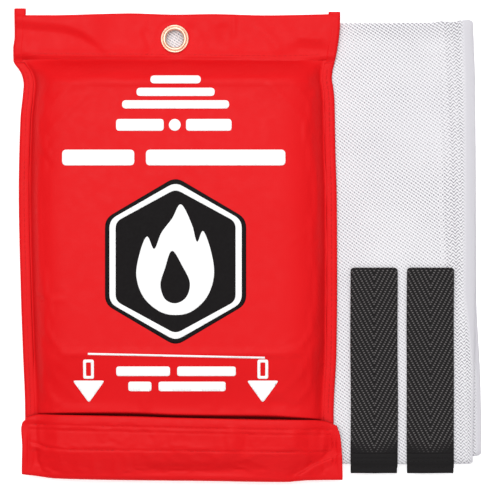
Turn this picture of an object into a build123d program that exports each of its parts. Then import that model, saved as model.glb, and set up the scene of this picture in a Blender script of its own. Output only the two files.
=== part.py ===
from build123d import *
import os

# A fire blanket beside its soft storage pouch, lying flat as one set.
# The blanket is a square of woven glass cloth folded in four both ways. Its folded leaves
# lie on each other, with two webbing pull loops sewn to the bottom hem of the top leaf.
# The empty pouch lies on the left part of the blanket. It has a back panel, a puffed front
# panel, a header with a hanging eyelet, taped side seams and a closing flap at its mouth.
# +X is to the right, +Y is towards the pouch's header and +Z is up. The origin is the
# bottom centre of the whole set. All lengths are in millimetres.

os.makedirs("parts", exist_ok=True)

# Blanket
PLY = 0.6  # one layer of glass cloth as it lies folded
PLIES_PER_LEAF = 4
LEAF_GAP = 0.2
LEAF_THICK = PLY * PLIES_PER_LEAF
LEAF_PITCH = LEAF_THICK + LEAF_GAP
LEAF_COUNT = 4
FOLD_LEFT = -120.1  # the left fold, which joins leaves 2 and 3
FOLD_RIGHT_UPPER = 129.45  # the right fold that joins leaves 1 and 2
FOLD_RIGHT_LOWER = 132.4  # the right fold that joins leaves 3 and 4
FREE_END = -116.1  # the free end of leaf 4
UPPER_TOP = 126.2
UPPER_BOTTOM = -123.4
LOWER_TOP = 124.8
LOWER_BOTTOM = -119.6
LEAF_CORNER = 3.0
LOWER_CORNER = 9.0
BLANKET_TOP = LEAF_COUNT * LEAF_PITCH - LEAF_GAP

# Pull straps
STRAP_WIDTH = 25.7
STRAP_CENTRES = {"left": 71.4, "right": 103.3}
STRAP_THICK = 2.4
STRAP_TOP = -13.1
STRAP_LIFT = 0.3
TAB_TOP = -117.9
TAB_BOTTOM = -128.6
TAB_THICK = 2.2
TAB_LOOP_GAP = 0.3
STRAP_CORNER = 1.5

# Pouch sheet material and layers
SHEET = 0.6
WASHER_THICK = 0.5
POUCH_BOTTOM = BLANKET_TOP + 0.3
BACK_LOW = POUCH_BOTTOM + WASHER_THICK
BACK_HIGH = BACK_LOW + SHEET
FLANGE_HIGH = BACK_HIGH + SHEET

# Pouch outline
BODY_LEFT = -128.3
BODY_RIGHT = 50.3
SEAM_WIDTH = 6.5
HEADER_LEFT = -132.4
HEADER_RIGHT = 52.3
HEADER_LOW = 104.5
HEADER_HIGH = 130.4
HEADER_COVER = 1.6
MOUTH_Y = -122.0
BACK_BOTTOM = -132.0

# Puffed front panel
PUFF_TOP = 24.4
PUFF_SIDE_RUN = 13.5
PUFF_HEAD_RUN = 8.0
PUFF_FOOT_Y = -72.0  # where the plateau starts to fall towards the flap
SHELF_Y = -96.0  # where that fall reaches the shelf under the flap
SHELF_TOP = 18.6
SHELF_SIDE_RUN = 7.5

# Seam tapes
TAPE_THICK = 0.6
TAPE_EARS = {"left": 133.6, "right": 131.8}
HEADER_TAPE_WIDTH = 6.6

# Eyelet
EYELET_X = -41.1
EYELET_Y = 116.6
EYELET_BORE = 5.0
BARREL_WALL = 0.6
FLANGE_RADIUS = 7.94
FLANGE_THICK = 1.0
HOLE_CLEARANCE = 0.05

# Closing flap with its hook and loop strips
FLAP_LEFT = -127.6
FLAP_RIGHT = 53.4
FLAP_FREE_EDGE = -97.8
FLAP_BOTTOM = -133.6
FLAP_SHEET = 0.7
FLAP_CORNER = 5.0
FLAP_HINGE_GAP = 0.4
STRIP_THICK = 0.6
STRIP_LOW = -118.0
STRIP_HIGH = -101.0
STRIP_INSET = 7.0
STRIP_GAP = 0.3
HEM_THICK = 0.5
HEM_WIDTH = 3.4

# Stitches
STITCH_PITCH = 5.0
STITCH_LONG = 3.4
STITCH_WIDE = 0.5
STITCH_HIGH = 0.3

# Print, as thin films on the front panel
FILM = 0.12
BADGE_X = -40.35
BADGE_Y = -9.05
BADGE_HALF_WIDTH = 39.55
BADGE_HALF_HEIGHT = 47.35
BADGE_SHOULDER = 24.0
RING_INSET = 2.5
RING_WIDTH = 3.4


def plate(left, right, low, high, base, top, corner=0.0):
    """A flat plate between two heights, with rounded corners if a radius is given."""
    centre = Pos((left + right) / 2, (low + high) / 2, base)
    width = right - left
    length = high - low
    outline = RectangleRounded(width, length, corner) if corner else Rectangle(width, length)
    return extrude(centre * outline, amount=top - base)


def frustum(base_box, top_box, base, top):
    """A solid with sloped sides between two level rectangles, each (left, right, low, high)."""
    sections = []
    for (left, right, low, high), height in ((base_box, base), (top_box, top)):
        centre = Pos((left + right) / 2, (low + high) / 2, height)
        sections.append(centre * Rectangle(right - left, high - low))
    return loft(sections)


def save(shape, node):
    """Write one node's solids to its own file."""
    export_step(shape, f"parts/{node}.step")


def group(solids):
    """Several loose solids of one kind as one node."""
    return Compound(children=list(solids))


# ---------------------------------------------------------------- blanket


def leaf(number):
    """One folded leaf of the blanket, counted from the top one down."""
    base = (LEAF_COUNT - number) * LEAF_PITCH
    if number <= 2:
        edges = (FOLD_LEFT, FOLD_RIGHT_UPPER, UPPER_BOTTOM, UPPER_TOP)
        return plate(*edges, base, base + LEAF_THICK, LEAF_CORNER)
    left = FOLD_LEFT if number == 3 else FREE_END
    edges = (left, FOLD_RIGHT_LOWER, LOWER_BOTTOM, LOWER_TOP)
    return plate(*edges, base, base + LEAF_THICK, LOWER_CORNER)


for number in range(1, LEAF_COUNT + 1):
    save(leaf(number), f"blanket_leaf_{number}")


# ---------------------------------------------------------------- straps


def strap_edges(side):
    """The left and right edges of a strap."""
    centre = STRAP_CENTRES[side]
    return centre - STRAP_WIDTH / 2, centre + STRAP_WIDTH / 2


def strap_tab(side):
    """The plain band that sews a strap to the blanket's hem and stands past its edge."""
    return plate(*strap_edges(side), TAB_BOTTOM, TAB_TOP, BLANKET_TOP, BLANKET_TOP + TAB_THICK)


def strap_loop(side):
    """The doubled webbing of a pull loop, flat on the blanket."""
    base = BLANKET_TOP + STRAP_LIFT
    low = TAB_TOP + TAB_LOOP_GAP
    return plate(*strap_edges(side), low, STRAP_TOP, base, base + STRAP_THICK, STRAP_CORNER)


def stitch_row(start, end, across, base, upright=False):
    """A row of stitches along X, or along Y if upright, lying on a surface."""
    count = int((end - start) / STITCH_PITCH)
    first = (start + end - (count - 1) * STITCH_PITCH) / 2
    long_side, wide_side = STITCH_LONG / 2, STITCH_WIDE / 2
    stitches = []
    for index in range(count):
        along = first + index * STITCH_PITCH
        span = (along - long_side, along + long_side)
        band = (across - wide_side, across + wide_side)
        edges = (*band, *span) if upright else (*span, *band)
        stitches.append(plate(*edges, base, base + STITCH_HIGH))
    return stitches


TAB_STITCH_INSET = 2.2
tab_stitches = []
for side in STRAP_CENTRES:
    save(strap_tab(side), f"strap_tab_{side}")
    save(strap_loop(side), f"strap_loop_{side}")
    left, right = strap_edges(side)
    for across in (TAB_TOP - TAB_STITCH_INSET, UPPER_BOTTOM + TAB_STITCH_INSET / 2):
        tab_stitches += stitch_row(left, right, across, BLANKET_TOP + TAB_THICK)
save(group(tab_stitches), "strap_tab_stitching")


# ---------------------------------------------------------------- pouch panels

INNER_LEFT = BODY_LEFT + SEAM_WIDTH
INNER_RIGHT = BODY_RIGHT - SEAM_WIDTH
PUFF_HEAD_Y = HEADER_LOW - 1.0
FALL = (PUFF_TOP - SHELF_TOP) / (PUFF_FOOT_Y - SHELF_Y)
PUFF_BASE_Y = SHELF_Y - (SHELF_TOP - BACK_HIGH) / FALL
FAR = 60.0


def puff(grow):
    """The filled-out shape of the front panel, grown or shrunk on its outside."""
    base_box = (INNER_LEFT - grow, INNER_RIGHT + grow, PUFF_BASE_Y - grow, PUFF_HEAD_Y + grow)
    top_box = (
        INNER_LEFT + PUFF_SIDE_RUN - grow,
        INNER_RIGHT - PUFF_SIDE_RUN + grow,
        PUFF_FOOT_Y - grow,
        PUFF_HEAD_Y - PUFF_HEAD_RUN + grow,
    )
    shelf_base = (INNER_LEFT - grow, INNER_RIGHT + grow, MOUTH_Y - FAR, PUFF_FOOT_Y)
    shelf_top = (
        INNER_LEFT + SHELF_SIDE_RUN - grow,
        INNER_RIGHT - SHELF_SIDE_RUN + grow,
        MOUTH_Y - FAR,
        PUFF_FOOT_Y,
    )
    body = frustum(base_box, top_box, BACK_HIGH, PUFF_TOP + grow)
    body += frustum(shelf_base, shelf_top, BACK_HIGH, SHELF_TOP + grow)
    return body - plate(BODY_LEFT, BODY_RIGHT, MOUTH_Y - 2 * FAR, MOUTH_Y, 0, 2 * PUFF_TOP)


def eyelet_hole(radius):
    """A tall cylinder on the eyelet's axis, for cutting the layers that it passes."""
    return Pos(EYELET_X, EYELET_Y, 0) * extrude(Circle(radius), amount=2 * PUFF_TOP)


barrel_radius = EYELET_BORE + BARREL_WALL
punched = eyelet_hole(barrel_radius + HOLE_CLEARANCE)

back_panel = plate(BODY_LEFT, BODY_RIGHT, BACK_BOTTOM, HEADER_HIGH, BACK_LOW, BACK_HIGH) - punched
save(back_panel, "pouch_back_panel")

flange = plate(BODY_LEFT, BODY_RIGHT, MOUTH_Y, HEADER_HIGH, BACK_HIGH, FLANGE_HIGH) - punched
front_panel = (flange + puff(0)) - puff(-SHEET)
save(front_panel, "pouch_front_panel")

header_top = FLANGE_HIGH + HEADER_COVER
header_cover = plate(
    HEADER_LEFT + HEADER_TAPE_WIDTH,
    HEADER_RIGHT - HEADER_TAPE_WIDTH,
    HEADER_LOW,
    HEADER_HIGH,
    FLANGE_HIGH,
    header_top,
)
save(header_cover - punched, "pouch_header_cover")
save(
    group(stitch_row(INNER_LEFT, INNER_RIGHT, HEADER_LOW + 1.5, header_top)),
    "header_seam_stitching",
)


# ---------------------------------------------------------------- seam tapes

side_stitches = []
for side, ear_top in TAPE_EARS.items():
    if side == "left":
        header_span = (HEADER_LEFT, HEADER_LEFT + HEADER_TAPE_WIDTH)
        seam_span = (BODY_LEFT, INNER_LEFT)
    else:
        header_span = (HEADER_RIGHT - HEADER_TAPE_WIDTH, HEADER_RIGHT)
        seam_span = (INNER_RIGHT, BODY_RIGHT)
    header_tape = plate(*header_span, HEADER_LOW, ear_top, FLANGE_HIGH, header_top + TAPE_THICK, 1.0)
    side_tape = plate(*seam_span, MOUTH_Y, HEADER_LOW, FLANGE_HIGH, FLANGE_HIGH + TAPE_THICK)
    save(header_tape, f"header_end_tape_{side}")
    save(side_tape, f"side_seam_tape_{side}")
    middle = sum(seam_span) / 2
    side_stitches += stitch_row(
        MOUTH_Y, HEADER_LOW, middle, FLANGE_HIGH + TAPE_THICK, upright=True
    )
save(group(side_stitches), "side_seam_stitching")


# ---------------------------------------------------------------- eyelet


def eyelet():
    """The rolled front flange and the barrel of the hanging eyelet."""
    barrel_base = POUCH_BOTTOM
    rim = Pos(EYELET_X, EYELET_Y, header_top) * extrude(Circle(FLANGE_RADIUS), amount=FLANGE_THICK)
    rim = fillet(rim.edges().group_by(Axis.Z)[-1], FLANGE_THICK * 0.8)
    barrel_length = header_top - barrel_base
    barrel = Pos(EYELET_X, EYELET_Y, barrel_base) * extrude(Circle(barrel_radius), amount=barrel_length)
    return (rim + barrel) - eyelet_hole(EYELET_BORE)


def eyelet_washer():
    """The flat ring under the back panel that the barrel is set over."""
    ring = Pos(EYELET_X, EYELET_Y, POUCH_BOTTOM) * extrude(Circle(FLANGE_RADIUS), amount=WASHER_THICK)
    return ring - punched


save(eyelet(), "hanging_eyelet")
save(eyelet_washer(), "eyelet_washer")


# ---------------------------------------------------------------- mouth and closing flap

strip_left = INNER_LEFT + STRIP_INSET + 1.0
strip_right = INNER_RIGHT - STRIP_INSET - 1.0
mouth_hem = plate(
    strip_left, strip_right, MOUTH_Y, MOUTH_Y + HEM_WIDTH, SHELF_TOP, SHELF_TOP + HEM_THICK
)
save(mouth_hem, "mouth_hem")

loop_top = SHELF_TOP + STRIP_THICK
loop_strip = plate(strip_left, strip_right, STRIP_LOW, STRIP_HIGH, SHELF_TOP, loop_top)
save(loop_strip, "loop_strip")

hook_base = loop_top + STRIP_GAP
hook_top = hook_base + STRIP_THICK
hook_strip = plate(strip_left, strip_right, STRIP_LOW, STRIP_HIGH, hook_base, hook_top)
save(hook_strip, "hook_strip")

flap_top = hook_top + FLAP_SHEET
hinge_height = (BACK_LOW + BACK_HIGH) / 2
flap_face = plate(
    FLAP_LEFT, FLAP_RIGHT, FLAP_BOTTOM, FLAP_FREE_EDGE, hook_top, flap_top, FLAP_CORNER
)
flap_foot = plate(
    FLAP_LEFT,
    FLAP_RIGHT,
    FLAP_BOTTOM,
    FLAP_BOTTOM + FLAP_SHEET,
    hinge_height + SHEET / 2 + FLAP_HINGE_GAP,
    flap_top,
)
flap_square_end = plate(
    FLAP_LEFT, FLAP_RIGHT, FLAP_BOTTOM, FLAP_BOTTOM + 2 * FLAP_CORNER, hook_top, flap_top
)
save(flap_face + flap_square_end + flap_foot, "closing_flap")

FLAP_ROW_INSET = 1.4
flap_stitches = []
for across in (STRIP_HIGH - FLAP_ROW_INSET, STRIP_LOW + FLAP_ROW_INSET):
    flap_stitches += stitch_row(FLAP_LEFT, FLAP_RIGHT, across, flap_top)
save(group(flap_stitches), "flap_stitching")


# ---------------------------------------------------------------- print


skin = puff(FILM) - puff(0)


def film(outline):
    """The thin printed films of a flat outline, laid over the front panel."""
    prism = extrude(Pos(0, 0, FLANGE_HIGH) * outline, amount=PUFF_TOP, dir=(0, 0, 1))
    return (prism & skin).solids()


def badge(inset):
    """The tall hexagonal badge, shrunk by an inset all round."""
    half_width = BADGE_HALF_WIDTH - inset
    half_height = BADGE_HALF_HEIGHT - inset * 1.15
    shoulder = BADGE_SHOULDER - inset * 0.3
    right_side = [(0, half_height), (half_width, shoulder), (half_width, -shoulder)]
    left_side = [(0, -half_height), (-half_width, -shoulder), (-half_width, shoulder)]
    return Pos(BADGE_X, BADGE_Y) * Polygon(*(right_side + left_side), align=None)


def tongue(radius, height, x, y, lean):
    """A drop shape with a leaning tip, one tongue of the flame."""
    half = radius * 0.94
    tip = Polygon((-half, radius * 0.34), (half, radius * 0.34), (lean, height), align=None)
    return Pos(x, y) * (Circle(radius) + tip)


def flame():
    """A plain flame of three tongues with a drop left open at its foot."""
    foot = BADGE_Y - 14.0
    shape = tongue(15.5, 44.0, BADGE_X, foot, 5.0)
    shape += tongue(9.5, 26.0, BADGE_X - 11.5, foot + 3.0, -4.0)
    shape += tongue(9.0, 22.0, BADGE_X + 12.0, foot + 2.0, 4.0)
    return shape - tongue(6.5, 17.0, BADGE_X, foot - 5.0, -2.0)


def bar(left, right, low, high):
    """A plain rounded bar that stands where a line of words would be."""
    radius = (high - low) * 0.3
    return Pos((left + right) / 2, (low + high) / 2) * RectangleRounded(
        right - left, high - low, radius
    )


ring_outer = badge(RING_INSET)
ring_inner = badge(RING_INSET + RING_WIDTH)
white_shape = (ring_outer - ring_inner) + flame()
save(group(film(badge(0) - white_shape)), "print_badge_ground")
save(group(film(white_shape)), "print_badge_ring_and_flame")

EMBLEM_Y = 86.0
emblem = Sketch()
for step, reach in enumerate((30.0, 22.0, 14.0)):
    emblem += Pos(BADGE_X, EMBLEM_Y - 7.0 + step * 7.0) * RectangleRounded(2 * reach, 4.6, 2.2)
save(group(film(emblem)), "print_emblem")

word_bars = [
    bar(-73.7, -8.8, 64.0, 70.8),
    bar(-104.0, 21.2, 44.8, 53.8),
    bar(-94.1, 13.8, -62.9, -61.8),
    bar(-73.7, -6.5, -73.6, -68.0),
    bar(-68.0, -12.0, -82.0, -76.4),
]
save(group(piece for shape in word_bars for piece in film(shape)), "print_word_bars")

PICTOGRAM_Y = -76.0
PICTOGRAM_OFFSET = 48.9
pictograms = []
for direction in (-1, 1):
    x = BADGE_X + direction * PICTOGRAM_OFFSET
    strap_shape = RectangleRounded(5.0, 13.0, 1.2)
    arrow = Polygon((-8.5, 0), (8.5, 0), (0, -11.0), align=None)
    pictograms += film(Pos(x, PICTOGRAM_Y + 6.0) * strap_shape)
    pictograms += film(Pos(x, PICTOGRAM_Y - 1.6) * arrow)
save(group(pictograms), "print_pull_pictograms")
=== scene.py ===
import math

import bpy
import numpy as np
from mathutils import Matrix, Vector
from mathutils import geometry
from mathutils import noise


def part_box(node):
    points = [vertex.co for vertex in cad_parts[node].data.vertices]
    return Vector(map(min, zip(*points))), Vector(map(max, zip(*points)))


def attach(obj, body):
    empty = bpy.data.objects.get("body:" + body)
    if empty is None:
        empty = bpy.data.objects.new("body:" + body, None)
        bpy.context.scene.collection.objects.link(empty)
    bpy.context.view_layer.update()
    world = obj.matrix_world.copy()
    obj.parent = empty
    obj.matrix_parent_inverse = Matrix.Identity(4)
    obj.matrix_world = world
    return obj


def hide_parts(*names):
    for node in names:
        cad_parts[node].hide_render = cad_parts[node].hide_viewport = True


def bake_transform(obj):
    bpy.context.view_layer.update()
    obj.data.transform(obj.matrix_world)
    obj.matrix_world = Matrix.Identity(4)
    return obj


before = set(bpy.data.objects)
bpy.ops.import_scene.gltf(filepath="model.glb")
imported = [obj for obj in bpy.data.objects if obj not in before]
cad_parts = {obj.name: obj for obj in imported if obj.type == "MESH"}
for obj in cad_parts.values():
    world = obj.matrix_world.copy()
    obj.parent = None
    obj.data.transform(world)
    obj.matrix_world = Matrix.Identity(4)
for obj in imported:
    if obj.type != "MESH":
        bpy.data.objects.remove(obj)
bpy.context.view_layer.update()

# A fire blanket beside its soft storage pouch, lying flat.
# Sizes below are millimetres. mesh_object() turns them into metres.
# +X is to the right, +Y is towards the pouch's header, +Z is up.

MM = 0.001
TAU = 2 * math.pi


# ---------------------------------------------------------------- small helpers


def node_box(node):
    """The lowest and highest corner of a CAD node, in millimetres."""
    low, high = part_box(node)
    return np.array(low) / MM, np.array(high) / MM


def smoothstep(value, start=0.0, end=1.0):
    """0 before start, 1 after end, and a smooth climb between them."""
    share = np.clip((np.asarray(value, float) - start) / (end - start), 0.0, 1.0)
    return share * share * (3.0 - 2.0 * share)


def bump(value, centre, width):
    """A soft round hill of height 1."""
    return np.exp(-(((np.asarray(value, float) - centre) / width) ** 2))


def smooth_line(points, at):
    """A smooth curve through a few (position, value) points that never overshoots them."""
    spots, values = np.array(sorted(points), float).T
    steep = np.diff(values) / np.diff(spots)
    product = steep[1:] * steep[:-1]
    mean = 2 * product / np.where(product > 0, steep[1:] + steep[:-1], 1.0)
    slopes = np.concatenate([[steep[0]], np.where(product > 0, mean, 0.0), [steep[-1]]])
    at = np.clip(np.asarray(at, float), spots[0], spots[-1])
    index = np.clip(np.searchsorted(spots, at, side="right") - 1, 0, len(spots) - 2)
    gap = spots[index + 1] - spots[index]
    t = (at - spots[index]) / gap
    start = (2 * t**3 - 3 * t**2 + 1) * values[index] + (t**3 - 2 * t**2 + t) * gap * slopes[index]
    end = (3 * t**2 - 2 * t**3) * values[index + 1] + (t**3 - t**2) * gap * slopes[index + 1]
    return start + end


def crease(x, y, route, width, reach=0.0):
    """A soft ridge of height 1 along a route, fading towards both of its ends.

    With a reach it is a ledge instead: it climbs across the route, from its right-hand side to
    its left-hand side, and dies away over the reach.
    """
    nearest, side, place, passed = np.full(np.shape(x), np.inf), 0.0, 0.0, 0.0
    for (x1, y1), (x2, y2) in zip(route[:-1], route[1:]):
        span = math.dist((x1, y1), (x2, y2))
        share = np.clip(((x - x1) * (x2 - x1) + (y - y1) * (y2 - y1)) / span**2, 0.0, 1.0)
        distance = np.hypot(x - x1 - share * (x2 - x1), y - y1 - share * (y2 - y1))
        left_hand = np.sign((x2 - x1) * (y - y1) - (y2 - y1) * (x - x1))
        closer = distance < nearest
        place = np.where(closer, passed + share * span, place)
        side = np.where(closer, left_hand * distance, side)
        nearest = np.where(closer, distance, nearest)
        passed += span
    fade = smoothstep(place, 0.0, 0.3 * passed) * smoothstep(passed - place, 0.0, 0.3 * passed)
    if reach:
        return smoothstep(side, -width, width) * np.exp(-((np.maximum(side, 0) / reach) ** 2)) * fade
    return np.exp(-((nearest / width) ** 2)) * fade


def creases(x, y, corner, folds):
    """The relief of several folds, each (height, width, route) or with a reach, from a corner."""
    total = np.zeros(np.shape(x))
    for height, width, route, *reach in folds:
        total = total + height * crease(x - corner[0], y - corner[1], route, width, *reach)
    return total


def uneven(length, fine, coarse, band):
    """Shares from 0 to 1 along a length, closer together within a band at each end."""
    ends = np.arange(0.0, band, fine)
    middle = np.linspace(band, length - band, int((length - 2 * band) / coarse) + 2)
    return np.concatenate([ends, middle, length - ends[::-1]]) / length


def ripple(x, y, size, seed):
    """Soft seeded noise of about -1 to 1 that changes over a distance of size."""
    x, y = np.broadcast_arrays(np.asarray(x, float), np.asarray(y, float))
    flat = [
        noise.noise(Vector((a / size, b / size, seed * 7.31)))
        for a, b in zip(x.ravel(), y.ravel())
    ]
    return np.array(flat).reshape(x.shape) * 1.6


# ---------------------------------------------------------------- mesh helpers


def grid_faces(rows, columns):
    """The quads of a grid of points, facing up where rows run along +Y and columns along +X."""
    faces = []
    for row in range(rows - 1):
        for column in range(columns - 1):
            corner = row * columns + column
            faces.append((corner, corner + 1, corner + columns + 1, corner + columns))
    return faces


def mesh_object(name, points, faces, material, uv=None):
    """A smooth-shaded mesh from points in millimetres, with an optional map in millimetres."""
    mesh = bpy.data.meshes.new(name)
    mesh.from_pydata((np.asarray(points, float) * MM).tolist(), [], faces)
    mesh.update()
    mesh.polygons.foreach_set("use_smooth", [True] * len(mesh.polygons))
    if uv is not None:
        layer = mesh.uv_layers.new(name="cloth")
        corners = np.zeros(len(mesh.loops), int)
        mesh.loops.foreach_get("vertex_index", corners)
        layer.data.foreach_set("uv", np.asarray(uv, float)[corners].ravel())
    mesh.materials.append(material)
    piece = bpy.data.objects.new(name, mesh)
    bpy.context.scene.collection.objects.link(piece)
    return piece


def surface_normals(points, faces):
    """The unit normal at every point of a mesh."""
    normals = np.zeros_like(points)
    for size in (3, 4):
        group = np.array([face for face in faces if len(face) == size], int)
        if len(group):
            first = points[group[:, 2]] - points[group[:, 0]]
            second = points[group[:, -1]] - points[group[:, 1]]
            across = np.cross(first, second)
            for corner in range(size):
                np.add.at(normals, group[:, corner], across)
    lengths = np.linalg.norm(normals, axis=1, keepdims=True)
    return normals / np.maximum(lengths, 1e-12)


def solid_sheet(name, points, faces, thickness, material, uv=None, edge=0.3):
    """A closed sheet of even thickness about a middle surface, with rounded rims."""
    points = np.asarray(points, float).reshape(-1, 3)
    normals = surface_normals(points, faces)
    count = len(points)
    half = normals * thickness / 2
    directed = {}
    for face in faces:
        for index, start in enumerate(face):
            directed[(start, face[(index + 1) % len(face)])] = True
    rim = [pair for pair in directed if (pair[1], pair[0]) not in directed]
    outward = np.zeros_like(points)
    for start, end in rim:
        along = points[end] - points[start]
        side = np.cross(along / max(np.linalg.norm(along), 1e-9), normals[start])
        outward[start] += side
        outward[end] += side
    lengths = np.linalg.norm(outward, axis=1, keepdims=True)
    outward = outward / np.maximum(lengths, 1e-9) * thickness * edge
    rim_points = sorted({start for pair in rim for start in pair})
    middle = {start: 2 * count + order for order, start in enumerate(rim_points)}
    everything = np.vstack([points + half, points - half, (points + outward)[rim_points]])
    shell = list(faces)
    shell += [tuple(corner + count for corner in reversed(face)) for face in faces]
    for start, end in rim:
        shell.append((end, start, middle[start], middle[end]))
        shell.append((middle[end], middle[start], start + count, end + count))
    full_uv = None
    if uv is not None:
        uv = np.asarray(uv, float).reshape(-1, 2)
        full_uv = np.vstack([uv, uv, uv[rim_points]])
    return mesh_object(name, everything, shell, material, full_uv)


def sheet_from_grid(name, grid, thickness, material, uv=None, edge=0.3):
    """A closed sheet from a grid of middle points, rows along +Y and columns along +X."""
    rows, columns = grid.shape[:2]
    return solid_sheet(name, grid, grid_faces(rows, columns), thickness, material, uv, edge)


def lathe(name, profile, centre, material, steps=96):
    """A ring turned about a vertical axis from a closed profile of (radius, height)."""
    profile = np.asarray(profile, float)
    angles = np.linspace(0, TAU, steps, endpoint=False)
    points = []
    for angle in angles:
        for radius, height in profile:
            x = centre[0] + radius * math.cos(angle)
            y = centre[1] + radius * math.sin(angle)
            points.append((x, y, height))
    faces = []
    count = len(profile)
    for step in range(steps):
        for spot in range(count):
            here, there = step * count, (step + 1) % steps * count
            after = (spot + 1) % count
            faces.append((here + spot, there + spot, there + after, here + after))
    return mesh_object(name, points, faces, material)


def thread_row(name, starts, ends, radius, material):
    """A row of stitches: a small rounded thread capsule between each start and end."""
    sides, rings = 6, (0.0, 0.12, 0.5, 0.88, 1.0)
    girth = (0.35, 0.9, 1.0, 0.9, 0.35)
    points, faces = [], []
    for start, end in zip(np.asarray(starts, float), np.asarray(ends, float)):
        along = end - start
        side = np.cross(along, (0.0, 0.0, 1.0))
        side /= max(np.linalg.norm(side), 1e-9)
        over = np.cross(side, along)
        over /= max(np.linalg.norm(over), 1e-9)
        base = len(points)
        for share, size in zip(rings, girth):
            lift = over * radius * 0.9 * math.sin(math.pi * share)
            for turn in range(sides):
                angle = TAU * turn / sides
                ring = side * math.cos(angle) + over * math.sin(angle)
                points.append(start + along * share + lift + ring * radius * size)
        for ring in range(len(rings) - 1):
            for turn in range(sides):
                a = base + ring * sides + turn
                b = base + ring * sides + (turn + 1) % sides
                faces.append((a, b, b + sides, a + sides))
        faces.append(tuple(base + turn for turn in reversed(range(sides))))
        last = base + (len(rings) - 1) * sides
        faces.append(tuple(last + turn for turn in range(sides)))
    return mesh_object(name, points, faces, material)


# ---------------------------------------------------------------- material helpers


def add(tree, kind, inputs=None, **settings):
    """A new shader node with its settings, and its inputs set or linked."""
    node = tree.nodes.new(kind)
    for key, value in settings.items():
        setattr(node, key, value)
    for key, value in (inputs or {}).items():
        if isinstance(value, bpy.types.NodeSocket):
            tree.links.new(value, node.inputs[key])
        else:
            node.inputs[key].default_value = value
    return node


def calc(tree, operation, *values):
    """A maths node's result."""
    inputs = dict(enumerate(values))
    return add(tree, "ShaderNodeMath", inputs, operation=operation).outputs[0]


def scaled_sum(tree, pairs):
    """A sum of sockets, each times a number."""
    total = 0.0
    for socket, factor in pairs:
        total = calc(tree, "MULTIPLY_ADD", socket, factor, total)
    return total


def wave(tree, phase):
    """A cosine of a phase counted in whole turns."""
    return calc(tree, "COSINE", calc(tree, "MULTIPLY", phase, TAU))


def grain(tree, vector, scale, detail=3.0, roughness=0.55):
    """A noise texture's value."""
    inputs = {"Vector": vector, "Scale": scale, "Detail": detail, "Roughness": roughness}
    return add(tree, "ShaderNodeTexNoise", inputs).outputs["Fac"]


def blend_colours(tree, factor, first, second):
    """A mix of two colours by a factor."""
    inputs = {0: factor, 6: first, 7: second}
    return add(tree, "ShaderNodeMix", inputs, data_type="RGBA").outputs[2]


def to_range(tree, value, low, high, new_low, new_high):
    """A value moved from one range to another, and kept inside it."""
    inputs = {0: value, 1: low, 2: high, 3: new_low, 4: new_high}
    return add(tree, "ShaderNodeMapRange", inputs).outputs[0]


def rgb(red, green, blue):
    """A colour given by its display values, 0 to 255, as the linear values that shaders use."""
    linear = []
    for value in (red, green, blue):
        share = value / 255
        linear.append(share / 12.92 if share <= 0.04045 else ((share + 0.055) / 1.055) ** 2.4)
    return (*linear, 1.0)


class Paint:
    """A new material with its main shader, its cloth map and its place in the object."""

    def __init__(self, name, **constants):
        self.material = bpy.data.materials.new(name)
        self.material.use_nodes = True
        self.tree = self.material.node_tree
        self.shader = self.tree.nodes["Principled BSDF"]
        for socket, value in constants.items():
            self.shader.inputs[socket.replace("_", " ")].default_value = value
        place = add(self.tree, "ShaderNodeTexCoord")
        self.place = place.outputs["Object"]
        cloth = add(self.tree, "ShaderNodeUVMap", uv_map="cloth").outputs[0]
        parts = add(self.tree, "ShaderNodeSeparateXYZ", {0: cloth})
        self.cloth, self.u, self.v = cloth, parts.outputs[0], parts.outputs[1]

    def set(self, socket, value):
        """Link a result to one of the shader's inputs."""
        self.tree.links.new(value, self.shader.inputs[socket])

    def openness(self, reach):
        """How open the surface is within a reach in mm: 1 on flat cloth, less in creases."""
        node = add(self.tree, "ShaderNodeAmbientOcclusion", {"Distance": reach * MM})
        node.samples = 12
        return node.outputs["AO"]

    def relief(self, *layers):
        """Bump from several (height, strength, distance in mm) layers."""
        normal = None
        for height, strength, distance in layers:
            inputs = {"Height": height, "Strength": strength, "Distance": distance * MM}
            if normal is not None:
                inputs["Normal"] = normal
            normal = add(self.tree, "ShaderNodeBump", inputs).outputs[0]
        self.set("Normal", normal)


# ---------------------------------------------------------------- materials

YARN_ACROSS = 2.47  # the glass cloth's pattern repeats after this far across
YARN_ALONG = 1.80  # and this far along
ZIGZAG_ACROSS = 3.4  # the pattern's zigzags beside a fold repeat after this far across
CLOTH_TILT = math.radians(2.2)
CHEVRON_ACROSS = 2.5  # between the webbing's slanting ribs, across the strap
CHEVRON_ALONG = 4.76  # between the same ribs, along the strap
BEAD_ALONG = 1.19  # between the beads of a rib, along the strap


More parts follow.
